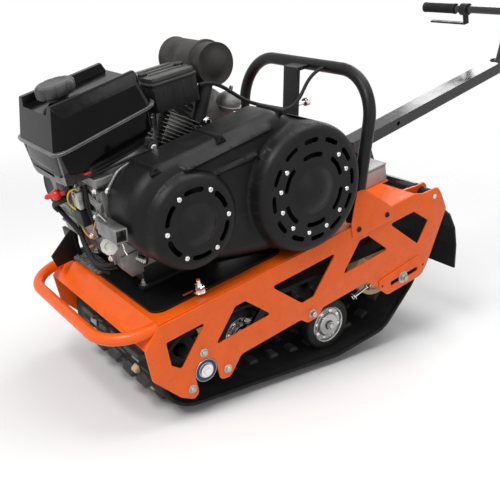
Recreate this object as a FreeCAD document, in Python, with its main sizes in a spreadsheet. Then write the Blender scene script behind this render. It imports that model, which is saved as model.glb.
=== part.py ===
import FreeCAD, Part
import math
import os
import Sketcher
from FreeCAD import Placement, Rotation, Vector

# Motorized snow tug: a tracked towing unit, engine at the front, steered by a beam at the back.
# Build frame: X forward, Y to the left, Z up, millimetres, with its origin on the centre plane at the
# front top corner of the side plates. Every node is then turned nose-down by stance_angle about Y and
# raised, because the unit rests on the long front run of its track.

doc = FreeCAD.newDocument("snow_tug")
sheet = doc.addObject("Spreadsheet::Sheet", "sizes")

table = [
    ("stance_angle", 14, "nose-down angle of the frame when parked"),
    ("frame_width", 456, "over the outer faces of the side plates"),
    ("frame_length", 721, "top edge of a side plate"),
    ("plate_gauge", 4, "side plate thickness"),
    ("sheet_gauge", 3, "deck and bracket sheet"),
    ("nose_run", 40, "length and drop of the sloping nose"),
    ("plate_depth", 161, "height of a side plate between its lobes"),
    ("rail_depth", 45, "solid band above the windows"),
    ("window_drop", 60, "height of the trapezoid windows"),
    ("window_round", 7, "corner radius of the windows"),
    ("shaft_x", -78, "front shaft centre"),
    ("shaft_z", -151, "front shaft centre"),
    ("shaft_diameter", 25, "front shaft"),
    ("bearing_diameter", 52, "front bearing, outside"),
    ("bearing_width", 15, "front bearing"),
    ("axle_x", -659, "rear axle centre"),
    ("axle_z", -201, "rear axle centre"),
    ("axle_diameter", 14, "rear axle"),
    ("slot_length", 94, "tension slot in a side plate, between its end centres"),
    ("slot_x", -666, "middle of the tension slot"),
    ("track_width", 410, "rubber track"),
    ("track_gauge", 9, "belt of the track"),
    ("lug_height", 18, "outer lugs of the track"),
    ("lug_pitch", 62, "spacing of the lugs, rounded to a whole number of them"),
    ("lug_length", 16, "lug along the belt"),
    ("lug_margin", 50, "belt left bare beyond each end of a lug"),
    ("sprocket_radius", 86, "front sprocket, at the belt"),
    ("idler_radius", 79, "rear idler, at the belt"),
    ("wheel_radius", 66, "road wheels"),
    ("wheel_front_x", -250, "front road wheel pair"),
    ("wheel_rear_x", -459, "rear road wheel pair"),
    ("slack_x", -585, "bow of the slack run between the rear road wheels and the idlers"),
    ("slack_z", -266, "bow of the slack run"),
    ("slack_radius", 71, "bow of the slack run, inside the belt"),
    ("wheel_width", 28, "road wheel tyre"),
    ("hub_radius", 40, "road wheel hub"),
    ("fit_gap", 0.3, "running clearance between neighbouring pieces"),
    ("bumper_tube", 25, "front bumper tube"),
    ("bumper_reach", 100, "bumper bar ahead of the plates' top corner"),
    ("bumper_span", 426, "bumper over its leg centres"),
    ("bumper_bend", 86, "centre-line bend radius of the bumper"),
    ("bumper_drop", 10, "bumper centre below the deck"),
    ("engine_plate_length", 330, "black engine plate"),
    ("engine_plate_width", 384, "black engine plate"),
    ("engine_plate_gauge", 5, "black engine plate"),
    ("crank_x", -124, "engine crankshaft"),
    ("crank_z", 170, "engine crankshaft"),
    ("crank_diameter", 25, "engine crankshaft"),
    ("engine_side", 106, "left face of the crankcase from the centre plane"),
    ("engine_depth", 270, "crankcase along the crankshaft"),
    ("tank_length", 212, "fuel tank, front to back"),
    ("tank_width", 200, "fuel tank, side to side"),
    ("tank_height", 76, "fuel tank above its seam"),
    ("tank_front", 60, "front face of the tank"),
    ("tank_seam", 340, "height of the tank seam's front end above the deck"),
    ("tank_tilt", 9.1, "slope of the tank, rising towards its back"),
    ("driven_x", -399, "driven pulley centre"),
    ("driven_z", 138, "driven pulley centre"),
    ("cover_back", 118, "inner face of the drive cover from the centre plane"),
    ("cover_side", 226, "outer face of the drive cover's body"),
    ("cover_wall", 3.5, "wall of the drive cover"),
    ("cover_big", 138, "radius of the cover round the driven pulley"),
    ("cover_small", 98, "radius of the cover round the drive pulley"),
    ("cover_edge", 25, "rounding of the cover's outer edge"),
    ("big_disc", 118, "radius of the large vented disc"),
    ("small_disc", 78, "radius of the small vented disc"),
    ("big_face", 249, "outer face of the large disc from the centre plane"),
    ("big_slots", 106, "mid radius of the twelve outer slots"),
    ("big_inner_slots", 75, "mid radius of the six inner slots"),
    ("small_slots", 67, "mid radius of the slots of the small disc"),
    ("slot_gap", 9, "width of the vent slots"),
    ("small_face", 236, "outer face of the small disc from the centre plane"),
    ("disc_gauge", 5, "vented discs"),
    ("hoop_tube", 28, "guard hoop tube"),
    ("hoop_x", -519, "foot of the hoop"),
    ("hoop_lean", 17.3, "backward lean of the hoop"),
    ("hoop_top", 333, "top of the hoop above the deck"),
    ("hoop_span", 452, "hoop over its leg centres"),
    ("hoop_bend", 103, "centre-line bend radius of the hoop"),
    ("battery_length", 84, "battery"),
    ("battery_width", 150, "battery"),
    ("battery_height", 48, "battery"),
    ("pivot_x", -788, "hinge of the steering beam"),
    ("pivot_z", -32, "hinge of the steering beam"),
    ("pivot_bolt", 12, "hinge bolt"),
    ("cross_tube", 38, "hinge tube of the steering beam, outside"),
    ("lug_radius", 24, "round end of the hinge lugs"),
    ("lug_inset", 46, "inner hinge lug from the side plate's outer face"),
    ("beam_height", 30, "steering beam section"),
    ("beam_width", 50, "steering beam section"),
    ("beam_wall", 3, "steering beam wall"),
    ("beam_start_x", -722, "front end of the beam"),
    ("beam_z", 75, "centre of the beam's front end above the deck"),
    ("beam_rise", 4.4, "upward slope of the beam towards its back"),
    ("beam_length", 600, "steering beam"),
    ("coupling_reach", 167, "coupling hole behind the front end of the beam"),
    ("coupling_bore", 12, "coupling hole through the beam"),
    ("bar_tube", 22, "handlebar tube"),
    ("bar_span", 640, "handlebar over its ends"),
    ("bar_riser", 150, "riser from the tilt hinge to the bar"),
    ("grip_length", 125, "rubber grips"),
    ("grip_diameter", 32, "rubber grips"),
    ("flap_gauge", 5, "rubber mud flap"),
    ("flap_width", 436, "rubber mud flap"),
    ("lever_clamp", 36, "clamp of a lever on the handlebar"),
    ("rise_angle", 62, "riser of the handlebar against the deck"),
    ("post_width", 50, "flat post ahead of the hoop"),
    ("post_gauge", 8, "flat post ahead of the hoop"),
    ("post_x", -512, "foot of the post"),
    ("post_lean", 11.1, "backward lean of the post"),
    ("cable_diameter", 8, "throttle cable"),
]
for row, (alias, number, note) in enumerate(table, start=1):
    sheet.set("A%d" % row, alias)
    sheet.set("B%d" % row, str(number))
    sheet.set("C%d" % row, note)
    sheet.setAlias("B%d" % row, alias)
doc.recompute()


class Size:
    """A number together with the expression over the sheet that gives it."""

    def __init__(self, value, text):
        self.value, self.text = float(value), text

    def __add__(self, other):
        other = size(other)
        return Size(self.value + other.value, "(%s + %s)" % (self.text, other.text))

    def __sub__(self, other):
        other = size(other)
        return Size(self.value - other.value, "(%s - %s)" % (self.text, other.text))

    def __mul__(self, other):
        other = size(other)
        return Size(self.value * other.value, "(%s * %s)" % (self.text, other.text))

    def __truediv__(self, other):
        other = size(other)
        return Size(self.value / other.value, "(%s / %s)" % (self.text, other.text))

    def __radd__(self, other):
        return size(other) + self

    def __rsub__(self, other):
        return size(other) - self

    def __rmul__(self, other):
        return size(other) * self

    def __neg__(self):
        return size(0) - self


def size(value):
    return value if isinstance(value, Size) else Size(value, repr(float(value)))


def cosine(angle):
    return Size(math.cos(math.radians(angle.value)), "cos(%s)" % angle.text)


def sine(angle):
    return Size(math.sin(math.radians(angle.value)), "sin(%s)" % angle.text)


class Named:
    """Each cell of the sheet, by its alias."""


s = Named()
for alias, number, note in table:
    setattr(s, alias, Size(sheet.get(alias), "sizes." + alias))

half = s.frame_width / 2
inner = half - s.plate_gauge  # inner face of a side plate
nodes = []


def bind(thing, prop, amount):
    thing.setExpression(prop, size(amount).text)


def place(thing, x, y, z, rotation=None):
    x, y, z = size(x), size(y), size(z)
    thing.Placement = Placement(Vector(x.value, y.value, z.value), rotation or Rotation())
    for axis, amount in (("x", x), ("y", y), ("z", z)):
        bind(thing, "Placement.Base." + axis, amount)
    return thing


along_x = Rotation(Vector(0, 1, 0), 90)
along_y = Rotation(Vector(1, 0, 0), -90)


def box(name, x, y, z):
    thing = doc.addObject("Part::Box", name)
    for prop, (low, high) in (("Length", x), ("Width", y), ("Height", z)):
        bind(thing, prop, size(high) - low)
    return place(thing, x[0], y[0], z[0])


def rod(name, radius, length, x, y, z, rotation=None):
    thing = doc.addObject("Part::Cylinder", name)
    bind(thing, "Radius", radius)
    bind(thing, "Height", length)
    return place(thing, x, y, z, rotation)


def rod_y(name, radius, x, z, y):
    return rod(name, radius, size(y[1]) - y[0], x, y[0], z, along_y)


def rod_x(name, radius, y, z, x):
    return rod(name, radius, size(x[1]) - x[0], x[0], y, z, along_x)


def rod_z(name, radius, x, y, z):
    return rod(name, radius, size(z[1]) - z[0], x, y, z[0])


def cone(name, low_radius, high_radius, length, x, y, z, rotation=None):
    thing = doc.addObject("Part::Cone", name)
    bind(thing, "Radius1", low_radius)
    bind(thing, "Radius2", high_radius)
    bind(thing, "Height", length)
    return place(thing, x, y, z, rotation)


def bend(name, centre_radius, tube_radius, x, y, z, rotation):
    """A quarter of a torus, from local +X to local +Y."""
    thing = doc.addObject("Part::Torus", name)
    bind(thing, "Radius1", centre_radius)
    bind(thing, "Radius2", tube_radius)
    thing.Angle3 = 90
    return place(thing, x, y, z, rotation)


def fuse(name, things):
    thing = doc.addObject("Part::MultiFuse", name)
    thing.Shapes = things
    thing.Refine = True
    return thing


def cut(name, base, tools):
    thing = doc.addObject("Part::Cut", name)
    thing.Base = base
    thing.Tool = tools[0] if len(tools) == 1 else fuse(name + "_tools", tools)
    thing.Refine = True
    return thing


def group(name, things):
    thing = doc.addObject("Part::Compound", name)
    thing.Links = things
    return thing


def stand(thing):
    """The parked stance, the same for every node."""
    tilt = s.stance_angle
    drop = ground_drop
    shift = origin_shift
    thing.Placement = Placement(Vector(shift.value, 0, drop.value), Rotation(Vector(0, 1, 0), tilt.value))
    bind(thing, "Placement.Rotation.Angle", tilt)
    bind(thing, "Placement.Base.x", shift)
    bind(thing, "Placement.Base.z", drop)


def node(label, thing):
    if thing.TypeId in ("Part::Box", "Part::Cylinder", "Part::Cone", "Part::Torus"):
        thing = group(label + "_node", [thing])
    thing.Label = label
    stand(thing)
    nodes.append(thing)
    return thing


def raise_back(x, z):
    """Where a point of the level beam goes when the beam slopes up by beam_rise."""
    dx, dz = x - s.beam_start_x, z - s.beam_z
    return (s.beam_start_x + dx * cosine(s.beam_rise) + dz * sine(s.beam_rise),
            s.beam_z - dx * sine(s.beam_rise) + dz * cosine(s.beam_rise))


def raised(name, things):
    """Pieces drawn on the level beam, turned with it about the beam's front end."""
    thing = group(name, things)
    x, z = raise_back(size(0), size(0))
    place(thing, x, 0, z, Rotation(Vector(0, 1, 0), s.beam_rise.value))
    bind(thing, "Placement.Rotation.Angle", s.beam_rise)
    return thing


def plane(body, role):
    return next(f for f in body.Origin.OriginFeatures if f.Role == role)


def polygon(sketch, points):
    """A closed outline whose corners are held by dimensions from the sketch's origin."""
    first = sketch.GeometryCount
    spots = [(size(u), size(v)) for u, v in points]
    count = len(spots)
    for i in range(count):
        a, b = spots[i], spots[(i + 1) % count]
        ends = Vector(a[0].value, a[1].value, 0), Vector(b[0].value, b[1].value, 0)
        sketch.addGeometry(Part.LineSegment(*ends), False)
    for i in range(count):
        sketch.addConstraint(Sketcher.Constraint("Coincident", first + i, 2, first + (i + 1) % count, 1))
    for i, spot in enumerate(spots):
        for kind, amount in zip(("DistanceX", "DistanceY"), spot):
            c = sketch.addConstraint(Sketcher.Constraint(kind, -1, 1, first + i, 1, amount.value))
            sketch.setExpression("Constraints[%d]" % c, amount.text)


def circle(sketch, u, v, radius):
    u, v, radius = size(u), size(v), size(radius)
    g = sketch.addGeometry(Part.Circle(Vector(u.value, v.value, 0), Vector(0, 0, 1), radius.value), False)
    for kind, amount in (("DistanceX", u), ("DistanceY", v)):
        c = sketch.addConstraint(Sketcher.Constraint(kind, -1, 1, g, 3, amount.value))
        sketch.setExpression("Constraints[%d]" % c, amount.text)
    c = sketch.addConstraint(Sketcher.Constraint("Radius", g, radius.value))
    sketch.setExpression("Constraints[%d]" % c, radius.text)


def drawing(body, name, face_y):
    """A sketch in the XZ plane at Y = face_y. It looks along -Y, so that a pad grows towards -Y."""
    sketch = body.newObject("Sketcher::SketchObject", name)
    sketch.AttachmentSupport = (plane(body, "XZ_Plane"), [""])
    sketch.MapMode = "FlatFace"
    sketch.AttachmentOffset = Placement(Vector(0, 0, -size(face_y).value), Rotation())
    bind(sketch, "AttachmentOffset.Base.z", -size(face_y))
    return sketch


def corners(body, base, radius, chosen):
    """A fillet along the edges that run across the plate at the chosen corners."""
    doc.recompute()
    names = []
    for i, edge in enumerate(base.Shape.Edges, start=1):
        if len(edge.Vertexes) != 2:
            continue
        a, b = (v.Point for v in edge.Vertexes)
        if abs(a.x - b.x) < 0.01 and abs(a.z - b.z) < 0.01 and abs(a.y - b.y) > 0.5:
            if any(abs(a.x - size(u).value) < 0.2 and abs(a.z - size(v).value) < 0.2 for u, v in chosen):
                names.append("Edge%d" % i)
    fillet = body.newObject("PartDesign::Fillet", body.Name + "_round")
    fillet.Base = (base, names)
    bind(fillet, "Radius", radius)
    return fillet


def flat_plate(name, outline, y, windows=(), holes=(), rounded=(), radius=None):
    """A plate in the XZ plane between y[0] and y[1], with windows and round holes."""
    body = doc.addObject("PartDesign::Body", name)
    face = drawing(body, name + "_outline", y[1])
    polygon(face, outline)
    pad = body.newObject("PartDesign::Pad", name + "_pad")
    pad.Profile = face
    bind(pad, "Length", size(y[1]) - y[0])
    last = pad
    if windows or holes:
        doc.recompute()
        before = pad.Shape.Volume
        openings = drawing(body, name + "_openings", y[1])
        for points in windows:
            polygon(openings, points)
        for u, v, r in holes:
            circle(openings, u, v, r)
        pocket = body.newObject("PartDesign::Pocket", name + "_pocket")
        pocket.Profile = openings
        bind(pocket, "Length", size(y[1]) - y[0])
        pocket.Reversed = True
        doc.recompute()
        if pocket.Shape.Volume > before - 1:
            raise ValueError(name + ": the pocket cut nothing")
        last = pocket
    if rounded:
        last = corners(body, last, radius, rounded)
    body.Tip = last
    return body


def solid(name, shape):
    thing = doc.addObject("Part::Feature", name)
    thing.Shape = shape
    return thing


# The parked stance: the ground is tangent to the lugs under the sprocket and the road wheels.
tilt = s.stance_angle
outer_rise = s.track_gauge + s.lug_height
shaft_height = s.sprocket_radius + outer_rise
ground_drop = shaft_height + s.shaft_x * sine(tilt) - s.shaft_z * cosine(tilt)
beam_back = s.beam_start_x - s.beam_length
tilt_x, tilt_z = beam_back - 26, s.beam_z
grip_x = tilt_x - s.bar_riser * cosine(s.rise_angle)
grip_z = tilt_z + s.bar_riser * sine(s.rise_angle)
bumper_z = -s.bumper_drop
tank_nose = size(16)  # how far the tank's top front edge lies behind its seam
flange = size(5)  # flange of the tank at its seam
tank_peak = s.tank_height + flange
tank_tip_x = s.tank_front - tank_nose * cosine(s.tank_tilt) + tank_peak * sine(s.tank_tilt)
tank_tip_z = s.tank_seam + tank_nose * sine(s.tank_tilt) + tank_peak * cosine(s.tank_tilt)
front_end = tank_tip_x * cosine(tilt) + tank_tip_z * sine(tilt)
bar_x, bar_z = raise_back(grip_x, grip_z)
rear_end = bar_x * cosine(tilt) + bar_z * sine(tilt) - s.lever_clamp / 2
origin_shift = (front_end + rear_end) / -2


def wheel_z(x):
    """Height in the build frame of a road wheel that stands on the same ground as the sprocket."""
    rise = s.wheel_radius - s.sprocket_radius
    return s.shaft_z + (rise + (x - s.shaft_x) * sine(tilt)) / cosine(tilt)


# ---- frame ----

top_z = -s.rail_depth
low_z = -s.rail_depth - s.window_drop
depth = s.plate_depth
ends = s.frame_length
notch = s.bearing_diameter / 2 + s.fit_gap
tip_z = s.shaft_z - 40
slot_lobe = 25
plate_outline = [
    (0, 0),
    (s.nose_run, -s.nose_run),
    (s.nose_run, -112),
    (-10, -184),
    (-30, tip_z),
    (s.shaft_x + notch, tip_z),
    (s.shaft_x + notch, s.shaft_z),
    (s.shaft_x - notch, s.shaft_z),
    (s.shaft_x - notch, tip_z),
    (s.shaft_x - 62, tip_z),
    (s.shaft_x - 92, -depth),
    (-335, -depth),
    (-352, -depth - 17),
    (-384, -depth - 17),
    (-401, -depth),
    (-543, -depth),
    (s.slot_x + s.slot_length / 2 + 40, s.axle_z + 2),
    (s.slot_x + s.slot_length / 2 + 16, s.axle_z - slot_lobe),
    (s.slot_x - s.slot_length / 2 - 18, s.axle_z - slot_lobe),
    (s.slot_x - s.slot_length / 2 - 40, s.axle_z + 5),
    (-ends - 108, -80),
    (s.pivot_x - s.lug_radius, s.pivot_z),
    (s.pivot_x - 12, s.pivot_z + s.lug_radius * 0.87),
    (s.pivot_x + 12, s.pivot_z + s.lug_radius * 0.87),
    (-ends - 26, -9),
    (-ends, 0),
]
windows = [
    [(-98, top_z), (-9, top_z), (-9, top_z - 52), (-28, top_z - 71)],
    [(-197, top_z), (-172, top_z), (-172 + s.window_drop, low_z), (-197 - s.window_drop, low_z)],
    [(-453, top_z), (-273, top_z), (-347, low_z - 15), (-378, low_z - 15)],
    [(-556, top_z), (-532, top_z), (-532 + s.window_drop, low_z), (-556 - s.window_drop, low_z)],
    [(-631, top_z), (-708, top_z), (-758, -88), (-719, -134)],
]
slot_half = s.axle_diameter / 2 + 1
slot = [
    (s.slot_x - s.slot_length / 2, s.axle_z - slot_half),
    (s.slot_x + s.slot_length / 2, s.axle_z - slot_half),
    (s.slot_x + s.slot_length / 2, s.axle_z + slot_half),
    (s.slot_x - s.slot_length / 2, s.axle_z + slot_half),
]
bolt_spots = [
    (-38, -176), (s.shaft_x - 3, s.shaft_z + 43), (s.shaft_x - 50, -176), (-368, -depth + 1),
]
hole = size(4.4)
plate_holes = [(u, v, hole) for u, v in bolt_spots]
plate_holes.append((s.pivot_x, s.pivot_z, s.pivot_bolt / 2 + s.fit_gap / 2))
plate_holes.append((s.shaft_x, s.shaft_z, notch))
round_list = [spot for group_points in windows for spot in group_points]
round_list += [(s.nose_run, -s.nose_run), (s.nose_run, -112)]
for side, y in (("left", (inner, half)), ("right", (-half, -inner))):
    body = flat_plate(
        "side_plate_" + side, plate_outline, y, windows + [slot], plate_holes, round_list, s.window_round
    )
    node("side_plate_" + side, body)

# deck and sloping nose, one folded sheet between the side plates
fold = s.sheet_gauge * 0.41
deck = flat_plate(
    "deck",
    [
        (-ends, 0), (0, 0), (s.nose_run, -s.nose_run),
        (s.nose_run - s.sheet_gauge * 0.71, -s.nose_run - s.sheet_gauge * 0.71),
        (-fold, -s.sheet_gauge), (-ends, -s.sheet_gauge),
    ],
    (-inner, inner),
)

plate_front = size(-12)
plate_back = plate_front - s.engine_plate_length
plate_half = s.engine_plate_width / 2
mount_plate = box(
    "mount_plate_block", (plate_back, plate_front), (-plate_half, plate_half), (0, s.engine_plate_gauge)
)
mount_round = doc.addObject("Part::Fillet", "mount_plate")
mount_round.Base = mount_plate
doc.recompute()
upright = []
for i, edge in enumerate(mount_plate.Shape.Edges, start=1):
    a, b = (v.Point for v in edge.Vertexes)
    if abs(a.z - b.z) > 1:
        upright.append((i, 27.0, 27.0))
mount_round.Edges = upright
guard_plate = box("guard_plate", (-22, -14), (-222, -160), (s.engine_plate_gauge, 69))
node("engine_plate", group("engine_plate_set", [mount_round, guard_plate]))

# front bumper, a flat U of tube
bar_r = s.bumper_tube / 2
leg_y = s.bumper_span / 2
bend_x = s.bumper_reach - s.bumper_bend
bend_y = leg_y - s.bumper_bend
leg_foot = size(-5)
bumper = fuse(
    "bumper",
    [
        rod_x("bumper_leg_left", bar_r, leg_y, bumper_z, (leg_foot, bend_x)),
        rod_x("bumper_leg_right", bar_r, -leg_y, bumper_z, (leg_foot, bend_x)),
        rod_y("bumper_bar", bar_r, s.bumper_reach, bumper_z, (-bend_y, bend_y)),
        bend("bumper_bend_left", s.bumper_bend, bar_r, bend_x, bend_y, bumper_z, Rotation()),
        bend("bumper_bend_right", s.bumper_bend, bar_r, bend_x, -bend_y, bumper_z, Rotation(Vector(0, 0, 1), -90)),
    ],
)
feet_tool = flat_plate(
    "bumper_trim",
    [(-60, 40), (-40, 40), (s.nose_run + 60, -s.nose_run - 60), (-60, -s.nose_run - 60)],
    (-half, half),
)
node("front_bumper", cut("bumper_cut", bumper, [feet_tool]))

# slotted tension brackets outside the plates, with their screws
bracket_y = half + s.sheet_gauge
bracket = [
    (s.slot_x + s.slot_length / 2 + 30, s.axle_z + 16),
    (s.slot_x + s.slot_length / 2 + 36, s.axle_z + 2),
    (s.slot_x + s.slot_length / 2 + 14, s.axle_z - slot_lobe + 1),
    (s.slot_x - s.slot_length / 2 - 16, s.axle_z - slot_lobe + 1),
    (s.slot_x - s.slot_length / 2 - 34, s.axle_z + 2),
    (s.slot_x - s.slot_length / 2 - 24, s.axle_z + 20),
]
brackets = []
for side, y in (("left", (half, bracket_y)), ("right", (-bracket_y, -half))):
    brackets.append(flat_plate("tension_" + side, bracket, y, [slot]))

# guard brackets, a triangular ear outside each plate that carries the hoop
ear = [
    (-535, 78), (-552, 78), (-634, 0), (-637, -19), (-628, -29), (-514, -29), (-506, -21), (-506, 6),
]
ears = []
for side, y in (("left", (half, bracket_y)), ("right", (-bracket_y, -half))):
    ears.append(flat_plate("ear_" + side, ear, y, (), [(-619, -13, hole), (-528, -13, hole)]))
node("plate_brackets", group("bracket_set", brackets + ears))

# guard hoop: two legs and a top bar with wide bends
hoop_r = s.hoop_tube / 2
hoop_y = s.hoop_span / 2
hoop_bend_z = s.hoop_top - s.hoop_bend
hoop_bar_y = hoop_y - s.hoop_bend
hoop_foot = size(85)  # the round legs start above the ears
foot_low = hoop_r * sine(s.hoop_lean) / cosine(s.hoop_lean) + s.fit_gap
foot_out = inner - s.fit_gap
foot_in = hoop_y - hoop_r
hoop = fuse(
    "hoop",
    [
        rod_z("hoop_leg_left", hoop_r, 0, hoop_y, (hoop_foot, hoop_bend_z)),
        rod_z("hoop_leg_right", hoop_r, 0, -hoop_y, (hoop_foot, hoop_bend_z)),
        box("hoop_foot_left", (-hoop_r, hoop_r), (foot_in, foot_out), (foot_low, hoop_foot + 12)),
        box("hoop_foot_right", (-hoop_r, hoop_r), (-foot_out, -foot_in), (foot_low, hoop_foot + 12)),
        rod_y("hoop_bar", hoop_r, 0, s.hoop_top, (-hoop_bar_y, hoop_bar_y)),
        bend("hoop_bend_left", s.hoop_bend, hoop_r, 0, hoop_bar_y, hoop_bend_z,
             Rotation(Vector(0, 1, 0), Vector(0, 0, 1), Vector(1, 0, 0), "XYZ")),
        bend("hoop_bend_right", s.hoop_bend, hoop_r, 0, -hoop_bar_y, hoop_bend_z,
             Rotation(Vector(0, -1, 0), Vector(0, 0, 1), Vector(-1, 0, 0), "XYZ")),
    ],
)
place(hoop, s.hoop_x, 0, 0, Rotation(Vector(0, -1, 0), s.hoop_lean.value))
bind(hoop, "Placement.Rotation.Angle", s.hoop_lean)
node("guard_hoop", group("hoop_set", [hoop]))

# flat post ahead of the hoop, folded back at the top to meet the bar
post_y = s.post_width / 2
post_slope = sine(s.post_lean) / cosine(s.post_lean)
bar_at_x = s.hoop_x - s.hoop_top * sine(s.hoop_lean)
bar_at_z = s.hoop_top * cosine(s.hoop_lean)
fold_z = bar_at_z + s.post_gauge / 2
fold_low = bar_at_z - s.post_gauge / 2
strap = s.post_gauge / cosine(s.post_lean) / 2
strap_end = bar_at_x + hoop_r + s.fit_gap
node("guard_post", group("guard_post_set", [flat_plate("guard_post_strap", [
    (s.post_x - strap, s.fit_gap),
    (s.post_x + strap, s.fit_gap),
    (s.post_x + strap - fold_z * post_slope, fold_z),
    (strap_end, fold_z),
    (strap_end, fold_low),
    (s.post_x - strap - fold_low * post_slope, fold_low),
], (-post_y, post_y))]))

# ---- running gear ----

shaft_r = s.shaft_diameter / 2
bore_gap = s.fit_gap / 2
bearing_face = half + 1
front_shaft = rod_y("shaft_rod", shaft_r, s.shaft_x, s.shaft_z, (-half - 4, half + 3))
bearings = []
for side, y in (("left", (bearing_face - s.bearing_width, bearing_face)),
                ("right", (-bearing_face, -bearing_face + s.bearing_width))):
    ring = rod_y("bearing_ring_" + side, s.bearing_diameter / 2, s.shaft_x, s.shaft_z, y)
    seat = rod_y("bearing_seat_" + side, shaft_r + bore_gap, s.shaft_x, s.shaft_z, (y[0] - 1, y[1] + 1))
    bearings.append(cut("bearing_" + side, ring, [seat]))
node("shaft_bearings", group("bearing_pair", bearings))

sprocket_y = s.track_width / 4
sprockets = []
for side, centre in (("left", sprocket_y), ("right", -sprocket_y)):
    wheel = rod_y("sprocket_disc_" + side, s.sprocket_radius - s.fit_gap, s.shaft_x, s.shaft_z,
                  (centre - 14, centre + 14))
    hub = rod_y("sprocket_hub_" + side, shaft_r + 10, s.shaft_x, s.shaft_z, (centre - 30, centre + 30))
    seat = rod_y("sprocket_bore_" + side, shaft_r + bore_gap, s.shaft_x, s.shaft_z, (centre - 31, centre + 31))
    sprockets.append(cut("sprocket_" + side, fuse("sprocket_body_" + side, [wheel, hub]), [seat]))
node("drive_sprockets", group("sprocket_pair", sprockets))


def hull_line(circles, grow=0.0):
    """Runs and arcs of the closed line round circles (x, z, r), taken counter-clockwise seen from -Y."""
    spots = [(x, z, r + grow) for x, z, r in circles]
    normals = []
    for (x1, z1, r1), (x2, z2, r2) in zip(spots, spots[1:] + spots[:1]):
        dx, dz = x2 - x1, z2 - z1
        far = math.hypot(dx, dz)
        along = (r1 - r2) / far
        across = math.sqrt(1 - along * along)
        normals.append(((dx * along + dz * across) / far, (dz * along - dx * across) / far))
    pieces = []
    for i, (x, z, r) in enumerate(spots):
        start, end = normals[i - 1], normals[i]
        a, b = math.atan2(start[1], start[0]), math.atan2(end[1], end[0])
        if b < a:
            b += 2 * math.pi
        pieces.append(("arc", (x, z, r), a, b))
        nx, nz, nr = spots[(i + 1) % len(spots)]
        pieces.append(("run", (x + r * end[0], z + r * end[1]), (nx + nr * end[0], nz + nr * end[1]), end))
    return pieces


def hull_wire(circles, grow=0.0, y=0.0):
    edges = []
    for piece in hull_line(circles, grow):
        if piece[0] == "arc":
            (x, z, r), a, b = piece[1:]
            spots = [Vector(x + r * math.cos(t), y, z + r * math.sin(t)) for t in (a, (a + b) / 2, b)]
            edges.append(Part.Arc(*spots).toShape())
        else:
            (x1, z1), (x2, z2) = piece[1:3]
            edges.append(Part.LineSegment(Vector(x1, y, z1), Vector(x2, y, z2)).toShape())
    return Part.Wire(edges)


def hull_solid(circles, y, grow=0.0):
    face = Part.Face(hull_wire(circles, grow, y[0]))
    return face.extrude(Vector(0, y[1] - y[0], 0))


rear_z = wheel_z(s.wheel_rear_x)
front_z = wheel_z(s.wheel_front_x)
track_circles = [
    (s.wheel_rear_x.value, rear_z.value, s.wheel_radius.value),
    (s.shaft_x.value, s.shaft_z.value, s.sprocket_radius.value),
    (s.axle_x.value, s.axle_z.value, s.idler_radius.value),
    (s.slack_x.value, s.slack_z.value, s.slack_radius.value),
]
side = s.track_width.value / 2
lug_side = side - s.lug_margin.value
gauge = s.track_gauge.value
belt = Part.Face(hull_wire(track_circles, gauge, -side)).cut(Part.Face(hull_wire(track_circles, 0, -side)))
line = hull_line(track_circles, gauge)
length = 0
for piece in line:
    if piece[0] == "arc":
        length += piece[1][2] * (piece[3] - piece[2])
    else:
        length += math.dist(piece[1], piece[2])
count = round(length / s.lug_pitch.value)
tall, broad = s.lug_height.value, s.lug_length.value / 2
lugs = []
for i in range(count):
    left = (i + 0.5) * length / count
    for piece in line:
        if piece[0] == "arc":
            own = piece[1][2] * (piece[3] - piece[2])
            if left <= own:
                t = piece[2] + left / piece[1][2]
                nx, nz = math.cos(t), math.sin(t)
                x, z = piece[1][0] + piece[1][2] * nx, piece[1][1] + piece[1][2] * nz
                break
        else:
            own = math.dist(piece[1], piece[2])
            if left <= own:
                part = left / own
                x = piece[1][0] + (piece[2][0] - piece[1][0]) * part
                z = piece[1][1] + (piece[2][1] - piece[1][1]) * part
                nx, nz = piece[3]
                break
        left -= own
    foot = [(-broad, -3), (broad, -3), (broad * 0.7, tall), (-broad * 0.7, tall)]
    corner = [Vector(x + u * -nz + v * nx, -lug_side, z + u * nx + v * nz) for u, v in foot]
    lugs.append(Part.Face(Part.makePolygon(corner + corner[:1])).extrude(Vector(0, 2 * lug_side, 0)))
track = belt.extrude(Vector(0, 2 * side, 0)).fuse(lugs).removeSplitter()
if len(track.Solids) != 1:
    raise ValueError("the lugs stand off the belt")
node("track", solid("track_belt", track.Solids[0]))

tyres, hubs, axles = [], [], []
wheel_axle = size(10)
for place_name, x, z, out in (("rear", s.wheel_rear_x, rear_z, 168), ("front", s.wheel_front_x, front_z, 104)):
    for side_name, y in (("left", (out - s.wheel_width, size(out))), ("right", (size(-out), -out + s.wheel_width))):
        name = place_name + "_" + side_name
        tread = rod_y("tyre_disc_" + name, s.wheel_radius - s.fit_gap, x, z, y)
        tyres.append(cut("tyre_" + name, tread, [rod_y("tyre_bore_" + name, s.hub_radius, x, z, (y[0] - 1, y[1] + 1))]))
        face = (y[1] - 8, y[1] + 5) if side_name == "left" else (y[0] - 5, y[0] + 8)
        disc = rod_y("hub_disc_" + name, s.hub_radius - bore_gap, x, z, y)
        core = rod_y("hub_core_" + name, 19, x, z, (y[0] - 4, y[1] + 4))
        dish = rod_y("hub_dish_" + name, s.hub_radius - 7, x, z, face)
        bore = rod_y("hub_bore_" + name, wheel_axle + bore_gap, x, z, (y[0] - 6, y[1] + 6))
        rim = cut("hub_rim_" + name, disc, [dish])
        hubs.append(cut("hub_" + name, fuse("hub_body_" + name, [rim, core]), [bore]))
    axles.append(rod_y("axle_rod_" + place_name, wheel_axle, x, z, (-out - 9, out + 9)))
node("road_wheel_tyres", group("tyre_set", tyres))
node("road_wheel_hubs", group("hub_set", hubs))

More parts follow.
